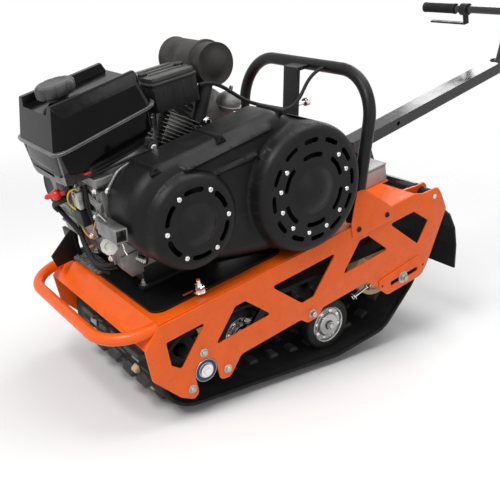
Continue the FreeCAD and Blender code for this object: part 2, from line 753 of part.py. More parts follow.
# suspension: cross tubes between the plates inside the track, with a pair of arms to each axle
tube_r = size(13)
link_x, link_z = size(-335), size(-139)
stay_x, stay_z = size(-505), size(-150)
cross_parts = [
    rod_y("tube_front", tube_r, link_x, link_z, (-inner, inner)),
    rod_y("tube_rear", tube_r, stay_x, stay_z, (-inner, inner)),
]
arms = []
for side_name, low in (("left", 118), ("right", -126)):
    for place_name, x, z in (("front", s.wheel_front_x, front_z), ("rear", s.wheel_rear_x, rear_z)):
        name = place_name + "_" + side_name
        y = (low, low + 8) if place_name == "front" else ((low + 9, low + 17) if low > 0 else (low - 9, low - 1))
        web = flat_plate("arm_web_" + name, [(link_x, link_z + 15), (link_x, link_z - 15), (x, z - 13), (x, z + 13)], y)
        ends_pair = [rod_y("arm_top_" + name, 22, link_x, link_z, y), rod_y("arm_low_" + name, 19, x, z, y)]
        bores = [rod_y("arm_bore_" + name, tube_r + bore_gap, link_x, link_z, (y[0] - 1, y[1] + 1)),
                 rod_y("arm_eye_" + name, wheel_axle + bore_gap, x, z, (y[0] - 1, y[1] + 1))]
        arms.append(cut("arm_" + name, fuse("arm_body_" + name, [web] + ends_pair), bores))
node("suspension_arms", group("arm_set", arms))

axle_r = s.axle_diameter / 2
rear_shaft = rod_y("rear_axle_rod", axle_r, s.axle_x, s.axle_z, (-bracket_y - 12, bracket_y + 12))
node("axles", group("axle_set", axles + [front_shaft, rear_shaft]))
idlers = []
for side_name, centre in (("left", 130), ("right", -130)):
    y = (centre - 17, centre + 17)
    wheel = rod_y("idler_disc_" + side_name, s.idler_radius - s.fit_gap, s.axle_x, s.axle_z, y)
    core = rod_y("idler_core_" + side_name, 24, s.axle_x, s.axle_z, (y[0] - 14, y[1] + 14))
    dishes = [rod_y("idler_dish_a_" + side_name, s.idler_radius - 12, s.axle_x, s.axle_z, (y[0] - 1, y[0] + 12)),
              rod_y("idler_dish_b_" + side_name, s.idler_radius - 12, s.axle_x, s.axle_z, (y[1] - 12, y[1] + 1))]
    bore = rod_y("idler_bore_" + side_name, axle_r + bore_gap, s.axle_x, s.axle_z, (y[0] - 15, y[1] + 15))
    idlers.append(cut("idler_" + side_name, fuse("idler_body_" + side_name,
                  [cut("idler_rim_" + side_name, wheel, dishes), core]), [bore]))
node("rear_idlers", group("idler_pair", idlers))

# washers and nuts of the rear axle, screws of the plates
screws = []
for side_name, sign in (("left", 1), ("right", -1)):
    def outward(near, far):
        return (near, far) if sign > 0 else (-far, -near)
    nut = rod_y("axle_washer_" + side_name, 15, s.axle_x, s.axle_z, outward(bracket_y, bracket_y + 3))
    cap = rod_y("axle_nut_" + side_name, 11, s.axle_x, s.axle_z, outward(bracket_y + 3, bracket_y + 11))
    bore = rod_y("axle_nut_bore_" + side_name, axle_r + bore_gap, s.axle_x, s.axle_z,
                 outward(bracket_y - 1, bracket_y + 13))
    screws.append(cut("axle_fastener_" + side_name, fuse("axle_fastener_body_" + side_name, [nut, cap]), [bore]))
    for i, (u, v) in enumerate(bolt_spots):
        name = "plate_screw_%s_%d" % (side_name, i)
        screws.append(fuse(name, [
            rod_y(name + "_shank", hole - bore_gap, u, v, outward(inner - 6, half + 1)),
            rod_y(name + "_head", 8, u, v, outward(half, half + 6)),
        ]))
    for i, (u, v) in enumerate(((-619, -13), (-528, -13))):
        name = "ear_screw_%s_%d" % (side_name, i)
        screws.append(rod_y(name, 7, u, v, outward(bracket_y, bracket_y + 5)))

# ---- engine ----

plate_top = s.engine_plate_gauge
block_left = s.engine_side
block_right = s.engine_side - s.engine_depth
block_front = s.crank_x + 120
block_back = s.crank_x - 104
block_top = s.crank_z + 78
block_low = plate_top + 12
case_foot = box("crankcase_foot", (block_back - 8, s.crank_x + 71), (block_right + 30, block_left - 20),
                (plate_top, block_low))
case_block = flat_plate("crankcase_block", [
    (block_back, block_low), (s.crank_x + 64, block_low), (s.crank_x + 64, s.crank_z - 97),
    (s.crank_x + 103, s.crank_z - 66), (s.crank_x + 114, s.crank_z - 25), (block_front, s.crank_z + 36),
    (block_front, block_top), (block_back, block_top),
], (block_right, block_left))
crankcase = fuse("crankcase_body", [
    case_foot, case_block, rod_y("crankcase_boss", 46, s.crank_x, s.crank_z, (block_left, block_left + 6)),
])
crank_bore = rod_y("crankcase_bore", s.crank_diameter / 2 + bore_gap, s.crank_x, s.crank_z, (block_left - 60, block_left + 7))
node("crankcase", cut("crankcase_bored", crankcase, [crank_bore]))
crank_stub = rod_y("crank_stub", s.crank_diameter / 2, s.crank_x, s.crank_z, (block_left - 60, s.cover_back + 80))

lean = Rotation(Vector(0, 1, 0), 25)
bank_y = size(-30)
fins = [box("barrel", (-214, -88), (-56, 56), (-56, 56))]
for i in range(11):
    fins.append(rod_x("fin_%d" % i, 84, 0, 0, (-212 + i * 12.0, -209 + i * 12.0)))
bank = place(fuse("bank", fins), s.crank_x, bank_y, s.crank_z, lean)
room = box("bank_room", (block_back, block_front), (block_right, block_left), (block_low, block_top))
node("cylinder_block", group("cylinder_group", [cut("bank_trim", bank, [room])]))
head = place(fuse("head", [box("head_block", (-246, -214), (-70, 70), (-66, 66)),
                           rod_x("valve_cover", 44, 0, 0, (-284, -246))]), s.crank_x, bank_y, s.crank_z, lean)
node("cylinder_head", group("head_group", [head]))

shroud_face = block_right - 62
shroud = fuse("shroud_body", [
    rod_y("shroud_drum", 118, s.crank_x, s.crank_z, (shroud_face, block_right)),
    box("shroud_duct", (s.crank_x - 200, s.crank_x), (shroud_face, block_right), (s.crank_z + 10, s.crank_z + 118)),
])
recoil = fuse("recoil_body", [
    cone("recoil_cone", 84, 98, 26, s.crank_x, shroud_face - 26, s.crank_z, along_y),
    rod_y("recoil_cap", 40, s.crank_x, s.crank_z, (shroud_face - 32, shroud_face - 26)),
])
node("fan_shroud", group("shroud_set", [shroud, recoil]))

tank_back = s.tank_front - s.tank_length
tank_left = s.engine_side + 7
tank_right = tank_left - s.tank_width
cover_ends = (tank_back + 14, s.tank_front - 26)
under = [  # the tank's underside over either end of the cover
    s.tank_seam + ((s.tank_front - x) * sine(s.tank_tilt) - 22) / cosine(s.tank_tilt) - bore_gap for x in cover_ends
]
node("engine_top_cover", flat_plate("top_cover", [
    (cover_ends[0], block_top), (cover_ends[1], block_top), (cover_ends[1], under[1]), (cover_ends[0], under[0]),
], (tank_right + 14, tank_left - 14)))

# tank and cap are drawn level from the front end of the seam, then sloped together
tank = doc.addObject("Part::Wedge", "tank_top")
inset = size(30)
for prop, amount in (("Xmin", 0), ("Xmax", s.tank_length), ("Ymin", 0), ("Ymax", s.tank_height),
                     ("Zmin", 0), ("Zmax", s.tank_width), ("X2min", 20), ("X2max", s.tank_length - tank_nose),
                     ("Z2min", inset), ("Z2max", s.tank_width - inset)):
    bind(tank, prop, amount)
place(tank, -s.tank_length, tank_left, flange, Rotation(Vector(1, 0, 0), 90))
tank_parts = fuse("tank_body", [
    tank,
    box("tank_flange", (-s.tank_length - flange, flange), (tank_right - flange, tank_left + flange), (0, flange)),
    box("tank_base", (-s.tank_length + 4, -4), (tank_right + 4, tank_left - 4), (-22, 0)),
])
cap_x = s.tank_length * -0.32
cap_y = (tank_left + tank_right) / 2
cap_parts = fuse("cap_body", [rod_z("cap_neck", 24, cap_x, cap_y, (tank_peak, tank_peak + 3)),
                              rod_z("cap_disc", 38, cap_x, cap_y, (tank_peak + 3, tank_peak + 22))])
for name, parts in (("fuel_tank", tank_parts), ("fuel_cap", cap_parts)):
    place(parts, s.tank_front, 0, s.tank_seam, Rotation(Vector(0, 1, 0), s.tank_tilt.value))
    bind(parts, "Placement.Rotation.Angle", s.tank_tilt)
    node(name, group(name + "_set", [parts]))

filter_back, filter_low = s.crank_x - 152, s.crank_z + 175
muffler_x, muffler_z = s.crank_x - 208, s.crank_z + 228
node("air_filter_box", fuse("filter_body", [
    box("filter_box", (filter_back, s.crank_x - 40), (-20, 84), (filter_low, filter_low + 73)),
    box("filter_duct", (s.crank_x - 66, s.crank_x - 42), (56, 84), (block_top, filter_low)),
]))
pipe = place(group("exhaust_pipe", [rod_z("pipe_rod", 14, -230, 0, (66.3, 108))]), s.crank_x, bank_y - 34, s.crank_z, lean)
muffler = fuse("muffler_body", [
    pipe,
    rod_y("muffler_drum", 44, muffler_x, muffler_z, (-100, 62)),
    rod_y("muffler_flange", 47, muffler_x, muffler_z, (20, 26)),
])
node("muffler", muffler)

controls = fuse("switch_body", [
    box("switch_box", (block_front, block_front + 18), (-84, -8), (186, block_top - 2)),
    rod_x("kill_button", 13, -46, 230, (block_front + 18, block_front + 36)),
    rod_x("key_switch", 10, -46, 202, (block_front + 18, block_front + 30)),
])
node("engine_switch_box", group("switch_set", [
    controls,
    box("relay_a", (block_front, block_front + 24), (27, 62), (s.crank_z + 50, block_top - 2)),
    box("relay_b", (block_front, block_front + 24), (24, 56), (s.crank_z + 37, s.crank_z + 48)),
]))
node("starter_motor", fuse("starter_body", [
    rod_y("starter_drum", 33, block_back - 34, 56, (block_right + 20, -30)),
    box("starter_foot", (block_back - 30, block_back), (block_right + 30, -50), (40, 72)),
]))
node("oil_filler_cap", rod_x("oil_cap", 15, block_left - 8, s.crank_z - 46, (s.crank_x + 113, s.crank_x + 135)))

# ---- belt drive ----

back, face_y, wall = s.cover_back.value, s.cover_side.value, s.cover_wall.value
gap = s.fit_gap.value
knee = (s.driven_x.value + 47, s.driven_z.value + 128, 44)
bulge = (s.crank_x.value + 20, s.crank_z.value + 22, 100)
circles = [
    (s.driven_x.value, s.driven_z.value, s.cover_big.value),
    (s.crank_x.value, s.crank_z.value, s.cover_small.value),
    bulge,
    knee,
]


def shouldered(grow, low, high, radius):
    """The cover's outline between two Y values, with its outer edge rounded."""
    block = hull_solid(circles, (low, high), grow)
    rim = [e for e in block.Edges if all(abs(v.Point.y - high) < 0.01 for v in e.Vertexes)]
    return block.makeFillet(radius, rim)


def drum(radius, x, z, low, high, far_radius=None):
    start = Vector(x, low, z)
    if far_radius is None:
        return Part.makeCylinder(radius, high - low, start, Vector(0, 1, 0))
    return Part.makeCone(radius, far_radius, high - low, start, Vector(0, 1, 0))


big_x, big_z = s.driven_x.value, s.driven_z.value
small_x, small_z = s.crank_x.value, s.crank_z.value
big_y, small_y = s.big_face.value, s.small_face.value
big_r, small_r, thick = s.big_disc.value, s.small_disc.value, s.disc_gauge.value
edge = s.cover_edge.value
cover = shouldered(0, back, face_y, edge)
big_boss = Part.makeCylinder(s.cover_big.value - 0.5, big_y - back, Vector(big_x, back, big_z), Vector(0, 1, 0))
big_boss = big_boss.makeFillet(16, [e for e in big_boss.Edges if abs(e.BoundBox.YMin - big_y) < 0.01])
small_boss = Part.makeCylinder(small_r + 9, small_y - back, Vector(small_x, back, small_z), Vector(0, 1, 0))
small_boss = small_boss.makeFillet(8, [e for e in small_boss.Edges if abs(e.BoundBox.YMin - small_y) < 0.01])
cover = cover.fuse([big_boss, small_boss])
cover = cover.cut(shouldered(-wall, back - 1, face_y - wall, edge - wall))
for r, x, z, y in ((big_r, big_x, big_z, big_y), (small_r, small_x, small_z, small_y)):
    cover = cover.cut(drum(r + gap, x, z, y - thick, y + 5))
    cover = cover.cut(drum(r - 8, x, z, face_y - 60, y))
rest_z = gap
deck_block = Part.makeBox(900, half.value + 1.2 - back + 5, 400, Vector(-800, back - 5, rest_z - 400))
cover = cover.cut(deck_block).removeSplitter()
node("drive_cover", solid("cover_shell", cover))


def slots(x, z, y, middle, total, share, turn):
    """Arc slots with round ends through a disc."""
    made = []
    reach = s.slot_gap.value / 2

    def spot(r, t, onward=0.0):
        u, v = r * math.cos(t) - onward * math.sin(t), r * math.sin(t) + onward * math.cos(t)
        return Vector(x + u, y, z + v)

    for i in range(total):
        a = math.radians(turn + 360.0 * (i - share / 2) / total)
        b = math.radians(turn + 360.0 * (i + share / 2) / total)
        low, high = middle - reach, middle + reach
        sides = [
            (spot(low, a), spot(low, (a + b) / 2), spot(low, b)),
            (spot(low, b), spot(middle, b, reach), spot(high, b)),
            (spot(high, b), spot(high, (a + b) / 2), spot(high, a)),
            (spot(high, a), spot(middle, a, -reach), spot(low, a)),
        ]
        wire = Part.Wire([Part.Arc(*side).toShape() for side in sides])
        made.append(Part.Face(wire).extrude(Vector(0, thick + 4, 0)))
    return made


def dome(radius, rise, x, z, y):
    """A shallow dome of the given foot radius standing on the plane Y = y."""
    ball = (radius * radius + rise * rise) / (2 * rise)
    bulb = Part.makeSphere(ball, Vector(x, y + rise - ball, z))
    return bulb.common(Part.makeBox(4 * radius, rise + 2, 4 * radius, Vector(x - 2 * radius, y - 1, z - 2 * radius)))


big = drum(big_r, big_x, big_z, big_y - thick, big_y).fuse(dome(50, 10, big_x, big_z, big_y))
big = big.cut(slots(big_x, big_z, big_y - thick - 2, s.big_slots.value, 12, 0.55, 3.5))
big = big.cut(slots(big_x, big_z, big_y - thick - 2, s.big_inner_slots.value, 6, 0.62, 34.5)).removeSplitter()
small = drum(small_r, small_x, small_z, small_y - thick, small_y).fuse(dome(42, 9, small_x, small_z, small_y))
small = small.cut(slots(small_x, small_z, small_y - thick - 2, s.small_slots.value, 6, 0.62, 34)).removeSplitter()
node("vent_discs", group("disc_pair", [solid("big_disc_plate", big), solid("small_disc_plate", small)]))

backing = hull_solid(circles, (back - 3, back))
backing = backing.cut(drum(s.crank_diameter.value / 2 + 3, small_x, small_z, back - 4, back + 1))
backing = backing.cut(drum(15.5, big_x, big_z, back - 4, back + 1))
node("cover_backing", solid("backing_plate", backing.cut(deck_block)))

stub_r = s.crank_diameter / 2 + bore_gap
pulley = fuse("drive_pulley_body", [
    cone("drive_pulley_in", 74, 60, 22, s.crank_x, s.cover_back + 8, s.crank_z, along_y),
    rod_y("drive_pulley_core", 44, s.crank_x, s.crank_z, (s.cover_back + 30, s.cover_back + 46)),
    cone("drive_pulley_out", 60, 74, 20, s.crank_x, s.cover_back + 46, s.crank_z, along_y),
])
driven = fuse("driven_pulley_body", [
    cone("driven_pulley_in", 118, 104, 16, s.driven_x, s.cover_back + 14, s.driven_z, along_y),
    rod_y("driven_pulley_core", 84, s.driven_x, s.driven_z, (s.cover_back + 30, s.cover_back + 46)),
    cone("driven_pulley_out", 104, 118, 20, s.driven_x, s.cover_back + 46, s.driven_z, along_y),
])
jack_r = size(12)
node("drive_pulleys", group("pulley_pair", [
    cut("drive_pulley", pulley, [rod_y("drive_pulley_bore", stub_r, s.crank_x, s.crank_z, (s.cover_back, s.cover_back + 70))]),
    cut("driven_pulley", driven, [rod_y("driven_pulley_bore", jack_r + bore_gap, s.driven_x, s.driven_z,
                                        (s.cover_back, s.cover_back + 70))]),
]))
node("pulley_shafts", group("pulley_shaft_pair", [
    crank_stub, rod_y("jack_rod", jack_r, s.driven_x, s.driven_z, (-half - 20, s.cover_back + 70)),
]))
pedestals = []
for side_name, y in (("left", (84, 106)), ("right", (-212, -190))):
    post = box("pedestal_post_" + side_name, (s.driven_x - 22, s.driven_x + 22), y, (0, s.driven_z))
    ring = rod_y("pedestal_ring_" + side_name, 27, s.driven_x, s.driven_z, y)
    bore = rod_y("pedestal_bore_" + side_name, jack_r + bore_gap, s.driven_x, s.driven_z, (size(y[0]) - 1, size(y[1]) + 1))
    pedestals.append(cut("pedestal_" + side_name, fuse("pedestal_body_" + side_name, [post, ring]), [bore]))
node("jack_shaft_bearings", group("pedestal_pair", pedestals))

case = hull_solid([(big_x, big_z, 58), (s.shaft_x.value, s.shaft_z.value, 50)], (-half.value - 35, -half.value - 7))
case = case.cut(drum(jack_r.value + gap, big_x, big_z, -half.value - 40, -half.value - 4))
node("chain_case", solid("case_body", case))

# throttle cable, from the air filter box over to the bar of the hoop
cable_y = 75
cable_end = (bar_at_x.value + hoop_r.value + gap, bar_at_z.value)
run = [(filter_back.value - gap, filter_low.value + 27), (filter_back.value - 32, filter_low.value + 21), (-345, 340), (-380, 310), (-422, 286), (-463, 267), (-490, 258),
       (-518, 266), (-536, 281), (-551, 297), (-573, cable_end[1] - 6), (cable_end[0] + 12, cable_end[1] - 0.3), cable_end]
line = Part.BSplineCurve()
line.interpolate([Vector(x, cable_y, z) for x, z in run])
spine = Part.Wire([line.toShape()])
ring = Part.Wire([Part.Circle(Vector(run[0][0], cable_y, run[0][1]), line.tangent(line.FirstParameter)[0],
                              s.cable_diameter.value / 2).toShape()])
node("throttle_cable", solid("cable_body", spine.makePipeShell([ring], True, False)))

# ---- rear ----

battery_back = size(-746)
shelf = box("battery_shelf_plate", (battery_back, -ends), (30, 116), (-s.sheet_gauge, 0))
node("deck_sheet", group("deck_set", [deck, shelf]))
node("battery", box("battery_block", (battery_back, battery_back + s.battery_length), (32, 113), (0, s.battery_height)))

lug_y = half - s.lug_inset
pin_r = s.pivot_bolt / 2
ear_plates = []
for side_name, low in (("left", lug_y - 3), ("right", -lug_y - 3)):
    ear_plates.append(flat_plate(
        "inner_lug_" + side_name,
        [(s.pivot_x - 20, s.pivot_z + 12), (s.pivot_x - 12, s.pivot_z + 22), (s.pivot_x + 12, s.pivot_z + 22),
         (-ends, s.pivot_z + 29), (-ends, s.pivot_z - 2), (s.pivot_x - 22, s.pivot_z - 20)],
        (low, low + 6), (), [(s.pivot_x, s.pivot_z, pin_r + bore_gap)],
    ))
bolts = []
for side_name, sign in (("left", 1), ("right", -1)):
    def across(near, far):
        return (near, far) if sign > 0 else (-far, -near)
    shank = rod_y("hinge_shank_" + side_name, pin_r, s.pivot_x, s.pivot_z, across(lug_y - 34, half + 1))
    head = rod_y("hinge_head_" + side_name, 11, s.pivot_x, s.pivot_z, across(lug_y - 13, lug_y - 3.3))
    bolts.append(fuse("hinge_bolt_" + side_name, [shank, head]))
    sleeve = rod_y("sleeve_body_" + side_name, 15, s.pivot_x, s.pivot_z, across(lug_y + 3, inner))
    hollow = rod_y("sleeve_bore_" + side_name, pin_r + bore_gap, s.pivot_x, s.pivot_z, across(lug_y + 2, inner + 1))
    cross_parts.append(cut("sleeve_" + side_name, sleeve, [hollow]))
node("hinge_lugs", group("lug_set", ear_plates))
node("frame_fasteners", group("fastener_set", screws + bolts))

bar = box("rear_bar_block", (-822, -800), (-inner, inner), (-92, -84))
node("cross_members", group("cross_set", cross_parts + [bar]))
flap_y = s.flap_width / 2
g = s.flap_gauge
node("mud_flap", flat_plate("flap", [
    (-822.3, -84), (-852, -114), (-870, -160), (-874, -211), (-866, -276),
    (-866 - g, -277), (-874 - g, -211), (-870 - g, -158), (-852 - g * 0.9, -111), (-822.3 - g * 0.7, -79),
], (-flap_y, flap_y)))

# ---- steering beam ----

end_gap = size(3)
tube_end = lug_y - 13 - end_gap
hinge_tube = cut("hinge_tube_body", rod_y("hinge_tube_out", s.cross_tube / 2, s.pivot_x, s.pivot_z, (-tube_end, tube_end)), [
    rod_y("hinge_tube_in", s.cross_tube / 2 - 3, s.pivot_x, s.pivot_z, (-tube_end + 10, tube_end - 10)),
    rod_y("hinge_tube_bore", pin_r + s.fit_gap, s.pivot_x, s.pivot_z, (-tube_end - 1, tube_end + 1)),
])
beam_low = s.beam_z - s.beam_height / 2
post = flat_plate("beam_post", [
    (s.pivot_x - 17, s.pivot_z + 5), (s.pivot_x + 12, s.pivot_z + 12), raise_back(s.beam_start_x - 8, beam_low),
    raise_back(s.beam_start_x - 60, beam_low),
], (-22, 22))
post_cut = cut("beam_post_trim", post, [rod_y("beam_post_seat", s.cross_tube / 2 + s.fit_gap, s.pivot_x, s.pivot_z, (-30, 30))])

beam_half = s.beam_width / 2
w = s.beam_wall
beam_top = s.beam_z + s.beam_height / 2
coupling_x = s.beam_start_x - s.coupling_reach
beam = cut("beam_tube", box("beam_out", (beam_back, s.beam_start_x), (-beam_half, beam_half), (beam_low, beam_top)), [
    box("beam_in", (beam_back - 1, s.beam_start_x + 1), (w - beam_half, beam_half - w), (beam_low + w, beam_top - w)),
    rod_y("beam_hole", s.coupling_bore / 2, coupling_x, s.beam_z, (-beam_half - 1, beam_half + 1)),
])
node("steering_beam", group("beam_set", [raised("beam_raised", [beam])]))

forks = []
for side_name, y in (("left", (15, 21)), ("right", (-21, -15))):
    cheek = fuse("fork_body_" + side_name, [
        box("fork_plate_" + side_name, (tilt_x, beam_back + 40), y, (s.beam_z - 11.8, s.beam_z + 11.8)),
        rod_y("fork_eye_" + side_name, 16, tilt_x, tilt_z, y),
    ])
    forks.append(cut("fork_" + side_name, cheek, [rod_y("fork_bore_" + side_name, 5 + bore_gap, tilt_x, tilt_z, (y[0] - 1, y[1] + 1))]))
node("beam_brackets", group("beam_bracket_set", [hinge_tube, post_cut, raised("forks_raised", forks)]))
tilt_pin = fuse("tilt_bolt_body", [
    rod_y("tilt_shank", 5, tilt_x, tilt_z, (-27, 27)),
    rod_y("tilt_head", 9, tilt_x, tilt_z, (21.2, 28)),
    rod_y("tilt_nut", 9, tilt_x, tilt_z, (-28, -21.2)),
])
node("tilt_bolt", group("tilt_bolt_set", [raised("tilt_bolt_raised", [tilt_pin])]))

# ---- handlebar ----

bar_r2 = s.bar_tube / 2
rise = Rotation(Vector(0, -1, 0), 90 - s.rise_angle.value)
stem_tube = rod("stem_tube", bar_r2, s.bar_riser, tilt_x, 0, tilt_z, rise)
bind(stem_tube, "Placement.Rotation.Angle", 90 - s.rise_angle)
stem = cut("stem", fuse("stem_body", [
    rod_y("stem_eye", 14, tilt_x, tilt_z, (-14, 14)),
    stem_tube,
    rod_y("bar", bar_r2, grip_x, grip_z, (-s.bar_span / 2, s.bar_span / 2)),
]), [rod_y("stem_bore", 5 + s.fit_gap, tilt_x, tilt_z, (-15, 15))])
node("handlebar", group("handlebar_set", [raised("handlebar_raised", [stem])]))
grips = []
for side_name, y in (("left", (s.bar_span / 2 - s.grip_length, s.bar_span / 2 + 4)),
                     ("right", (-s.bar_span / 2 - 4, -s.bar_span / 2 + s.grip_length))):
    sleeve = rod_y("grip_out_" + side_name, s.grip_diameter / 2, grip_x, grip_z, y)
    pocket = (y[0] - 1, s.bar_span / 2 + bore_gap) if side_name == "left" else (-s.bar_span / 2 - bore_gap, y[1] + 1)
    grips.append(cut("grip_" + side_name, sleeve, [rod_y("grip_in_" + side_name, bar_r2 + bore_gap, grip_x, grip_z, pocket)]))
node("handlebar_grips", group("grip_set", [raised("grips_raised", grips)]))
levers = []
for side_name, sign in (("left", 1), ("right", -1)):
    at = s.bar_span / 2 - s.grip_length - 30
    y = (at - 12, at + 12) if sign > 0 else (-at - 12, -at + 12)
    clamp = cut("lever_clamp_" + side_name, rod_y("lever_clamp_out_" + side_name, s.lever_clamp / 2, grip_x, grip_z, y),
                [rod_y("lever_clamp_in_" + side_name, bar_r2 + bore_gap, grip_x, grip_z, (y[0] - 1, y[1] + 1))])
    reach = (at, s.bar_span / 2 - 20) if sign > 0 else (-s.bar_span / 2 + 20, -at)
    blade = box("lever_blade_" + side_name, (grip_x - 7, grip_x + 7), reach, (grip_z - 46, grip_z - 41))
    arm = box("lever_arm_" + side_name, (grip_x - 6, grip_x + 6), (y[0] + 6, y[1] - 6), (grip_z - 44, grip_z - 16))
    levers.append(fuse("lever_" + side_name, [clamp, blade, arm]))
node("bar_levers", group("lever_set", [raised("levers_raised", levers)]))

# ---- checks and files ----

doc.recompute()
for thing in doc.Objects:
    if "Invalid" in thing.State or "Error" in thing.State:
        raise RuntimeError("%s (%s): %s" % (thing.Name, thing.Label, thing.State))
for thing in nodes:
    if thing.Shape.isNull() or not thing.Shape.isValid():
        raise RuntimeError(thing.Label + " has no valid shape")
os.makedirs("parts", exist_ok=True)
for thing in nodes:
    thing.Shape.exportStep("parts/%s.step" % thing.Label)
print(len(nodes), "nodes")
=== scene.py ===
import math
import bmesh
import bpy
from mathutils import Matrix, Vector
from mathutils.geometry import delaunay_2d_cdt


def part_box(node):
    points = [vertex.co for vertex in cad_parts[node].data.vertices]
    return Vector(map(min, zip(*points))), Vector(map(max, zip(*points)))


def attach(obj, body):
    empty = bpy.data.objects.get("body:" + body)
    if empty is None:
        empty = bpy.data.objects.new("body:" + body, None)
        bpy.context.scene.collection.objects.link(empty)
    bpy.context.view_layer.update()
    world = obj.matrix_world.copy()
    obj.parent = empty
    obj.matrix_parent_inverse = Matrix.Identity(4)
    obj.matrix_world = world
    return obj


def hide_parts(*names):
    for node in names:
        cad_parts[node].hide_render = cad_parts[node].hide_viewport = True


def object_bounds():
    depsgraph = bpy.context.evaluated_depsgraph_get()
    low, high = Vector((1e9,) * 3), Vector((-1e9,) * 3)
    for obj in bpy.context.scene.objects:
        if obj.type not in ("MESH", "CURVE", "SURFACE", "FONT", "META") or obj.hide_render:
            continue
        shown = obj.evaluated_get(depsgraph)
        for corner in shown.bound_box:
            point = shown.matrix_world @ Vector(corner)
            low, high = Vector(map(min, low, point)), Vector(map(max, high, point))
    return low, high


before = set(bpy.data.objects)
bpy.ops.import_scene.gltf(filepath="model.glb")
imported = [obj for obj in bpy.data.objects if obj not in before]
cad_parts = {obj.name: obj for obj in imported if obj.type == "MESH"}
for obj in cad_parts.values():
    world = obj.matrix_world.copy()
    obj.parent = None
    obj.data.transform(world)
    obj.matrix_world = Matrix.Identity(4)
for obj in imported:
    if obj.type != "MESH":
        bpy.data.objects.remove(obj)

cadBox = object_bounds()

# Deck frame: millimetres, x forward, y to the near side, z up from the deck at the plates' front corner.
# parked turns it nose-down and puts it in the row frame.
stance = {"noseDown": 14, "shaftX": -78, "shaftZ": -151}
shaftLow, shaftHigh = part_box("drive_sprockets")
noseDown = Matrix.Rotation(math.radians(stance["noseDown"]), 4, "Y")
toMetres = Matrix.Scale(0.001, 4)
parked = (Matrix.Translation((shaftLow + shaftHigh) / 2) @ noseDown @ toMetres
          @ Matrix.Translation((-stance["shaftX"], 0, -stance["shaftZ"])))
forward, acrossWay, upward = (1, 0, 0), (0, 1, 0), (0, 0, 1)
bothSides = (1, -1)

# camera, in the deck frame
view = {"spot": (448.735, 1297.396, 731.237), "right": (-0.79166, 0.59245, -0.14927),
        "up": (-0.38742, -0.29788, 0.87245), "lens": 51.06, "sensor": 36, "shift": 0.005}
cameraData = bpy.data.cameras.new("camera")
cameraData.lens = view["lens"]
cameraData.sensor_width = view["sensor"]
cameraData.shift_x = view["shift"]
camera = bpy.data.objects.new("camera", cameraData)
bpy.context.scene.collection.objects.link(camera)
rightWay = Vector(view["right"]).normalized()
upWay = (Vector(view["up"]) - rightWay * rightWay.dot(Vector(view["up"]))).normalized()
sight = Matrix((rightWay, upWay, rightWay.cross(upWay))).transposed().to_4x4()
camera.matrix_world = Matrix.Translation(parked @ Vector(view["spot"])) @ noseDown @ sight
bpy.context.scene.camera = camera
bpy.context.scene.view_settings.view_transform = "Standard"

# lamps: place, size and power
studio = {"floorSize": 14, "floorTone": 0.86, "floorFade": (0.75, 2.6), "ambient": 0.31, "aim": (0, 0, 0.3),
          "lamps": {"keyLamp": ((2.4, 0.6, 2.9), 1.6, 92), "nearLamp": ((0.2, 3.2, 1.5), 1.8, 9),
                    "topLamp": ((-0.4, 0.3, 3.0), 2.2, 40), "backLamp": ((-2.6, -1.6, 2.2), 1.6, 30)}}
for lampName, (lampSpot, lampSize, lampPower) in studio["lamps"].items():
    lampData = bpy.data.lights.new(lampName, "AREA")
    lampData.shape, lampData.size, lampData.energy = "DISK", lampSize, lampPower
    lamp = bpy.data.objects.new(lampName, lampData)
    bpy.context.scene.collection.objects.link(lamp)
    lamp.location = lampSpot
    lamp.rotation_euler = (Vector(studio["aim"]) - Vector(lampSpot)).to_track_quat("-Z", "Y").to_euler()


def nodeTree(owner):  # the nodes and links of a material or world
    owner.use_nodes = True
    return owner.node_tree.nodes, owner.node_tree.links


def addNode(nodes, kind, **settings):
    node = nodes.new("ShaderNode" + kind)
    for setting, value in settings.items():
        setattr(node, setting, value)
    return node


def seenRays(nodes, links):  # camera, mirror and glass rays, which see the white background
    path = addNode(nodes, "LightPath")
    seen = path.outputs["Is Camera Ray"]
    for kind in ("Is Glossy Ray", "Is Transmission Ray"):
        most = addNode(nodes, "Math", operation="MAXIMUM")
        links.new(seen, most.inputs[0])
        links.new(path.outputs[kind], most.inputs[1])
        seen = most.outputs[0]
    return seen


world = bpy.data.worlds.new("studioWorld")
bpy.context.scene.world = world
nodes, links = nodeTree(world)
background = nodes["Background"]
background.inputs["Color"].default_value = (1, 1, 1, 1)
level = addNode(nodes, "MapRange")
level.inputs["To Min"].default_value = studio["ambient"]
links.new(seenRays(nodes, links), level.inputs["Value"])
links.new(level.outputs[0], background.inputs["Strength"])

# the floor keeps the shadow and fades out into the white around it
reach = studio["floorSize"] / 2
floorMesh = bpy.data.meshes.new("floor")
floorMesh.from_pydata([(-reach, -reach, 0), (reach, -reach, 0), (reach, reach, 0), (-reach, reach, 0)], [],
                      [(0, 1, 2, 3)])
floor = bpy.data.objects.new("floor", floorMesh)
bpy.context.scene.collection.objects.link(floor)
floor.location.z = cadBox[0].z - 0.0004
floorLook = bpy.data.materials.new("floorLook")
nodes, links = nodeTree(floorLook)
floorShader = nodes["Principled BSDF"]
floorShader.inputs["Base Color"].default_value = (studio["floorTone"],) * 3 + (1,)
floorShader.inputs["Roughness"].default_value = 0.9
floorShader.inputs["Specular IOR Level"].default_value = 0.1
away = addNode(nodes, "VectorMath", operation="LENGTH")
rim = addNode(nodes, "MapRange", interpolation_type="SMOOTHSTEP")
rim.inputs["From Min"].default_value, rim.inputs["From Max"].default_value = studio["floorFade"]
fade = addNode(nodes, "MixShader")
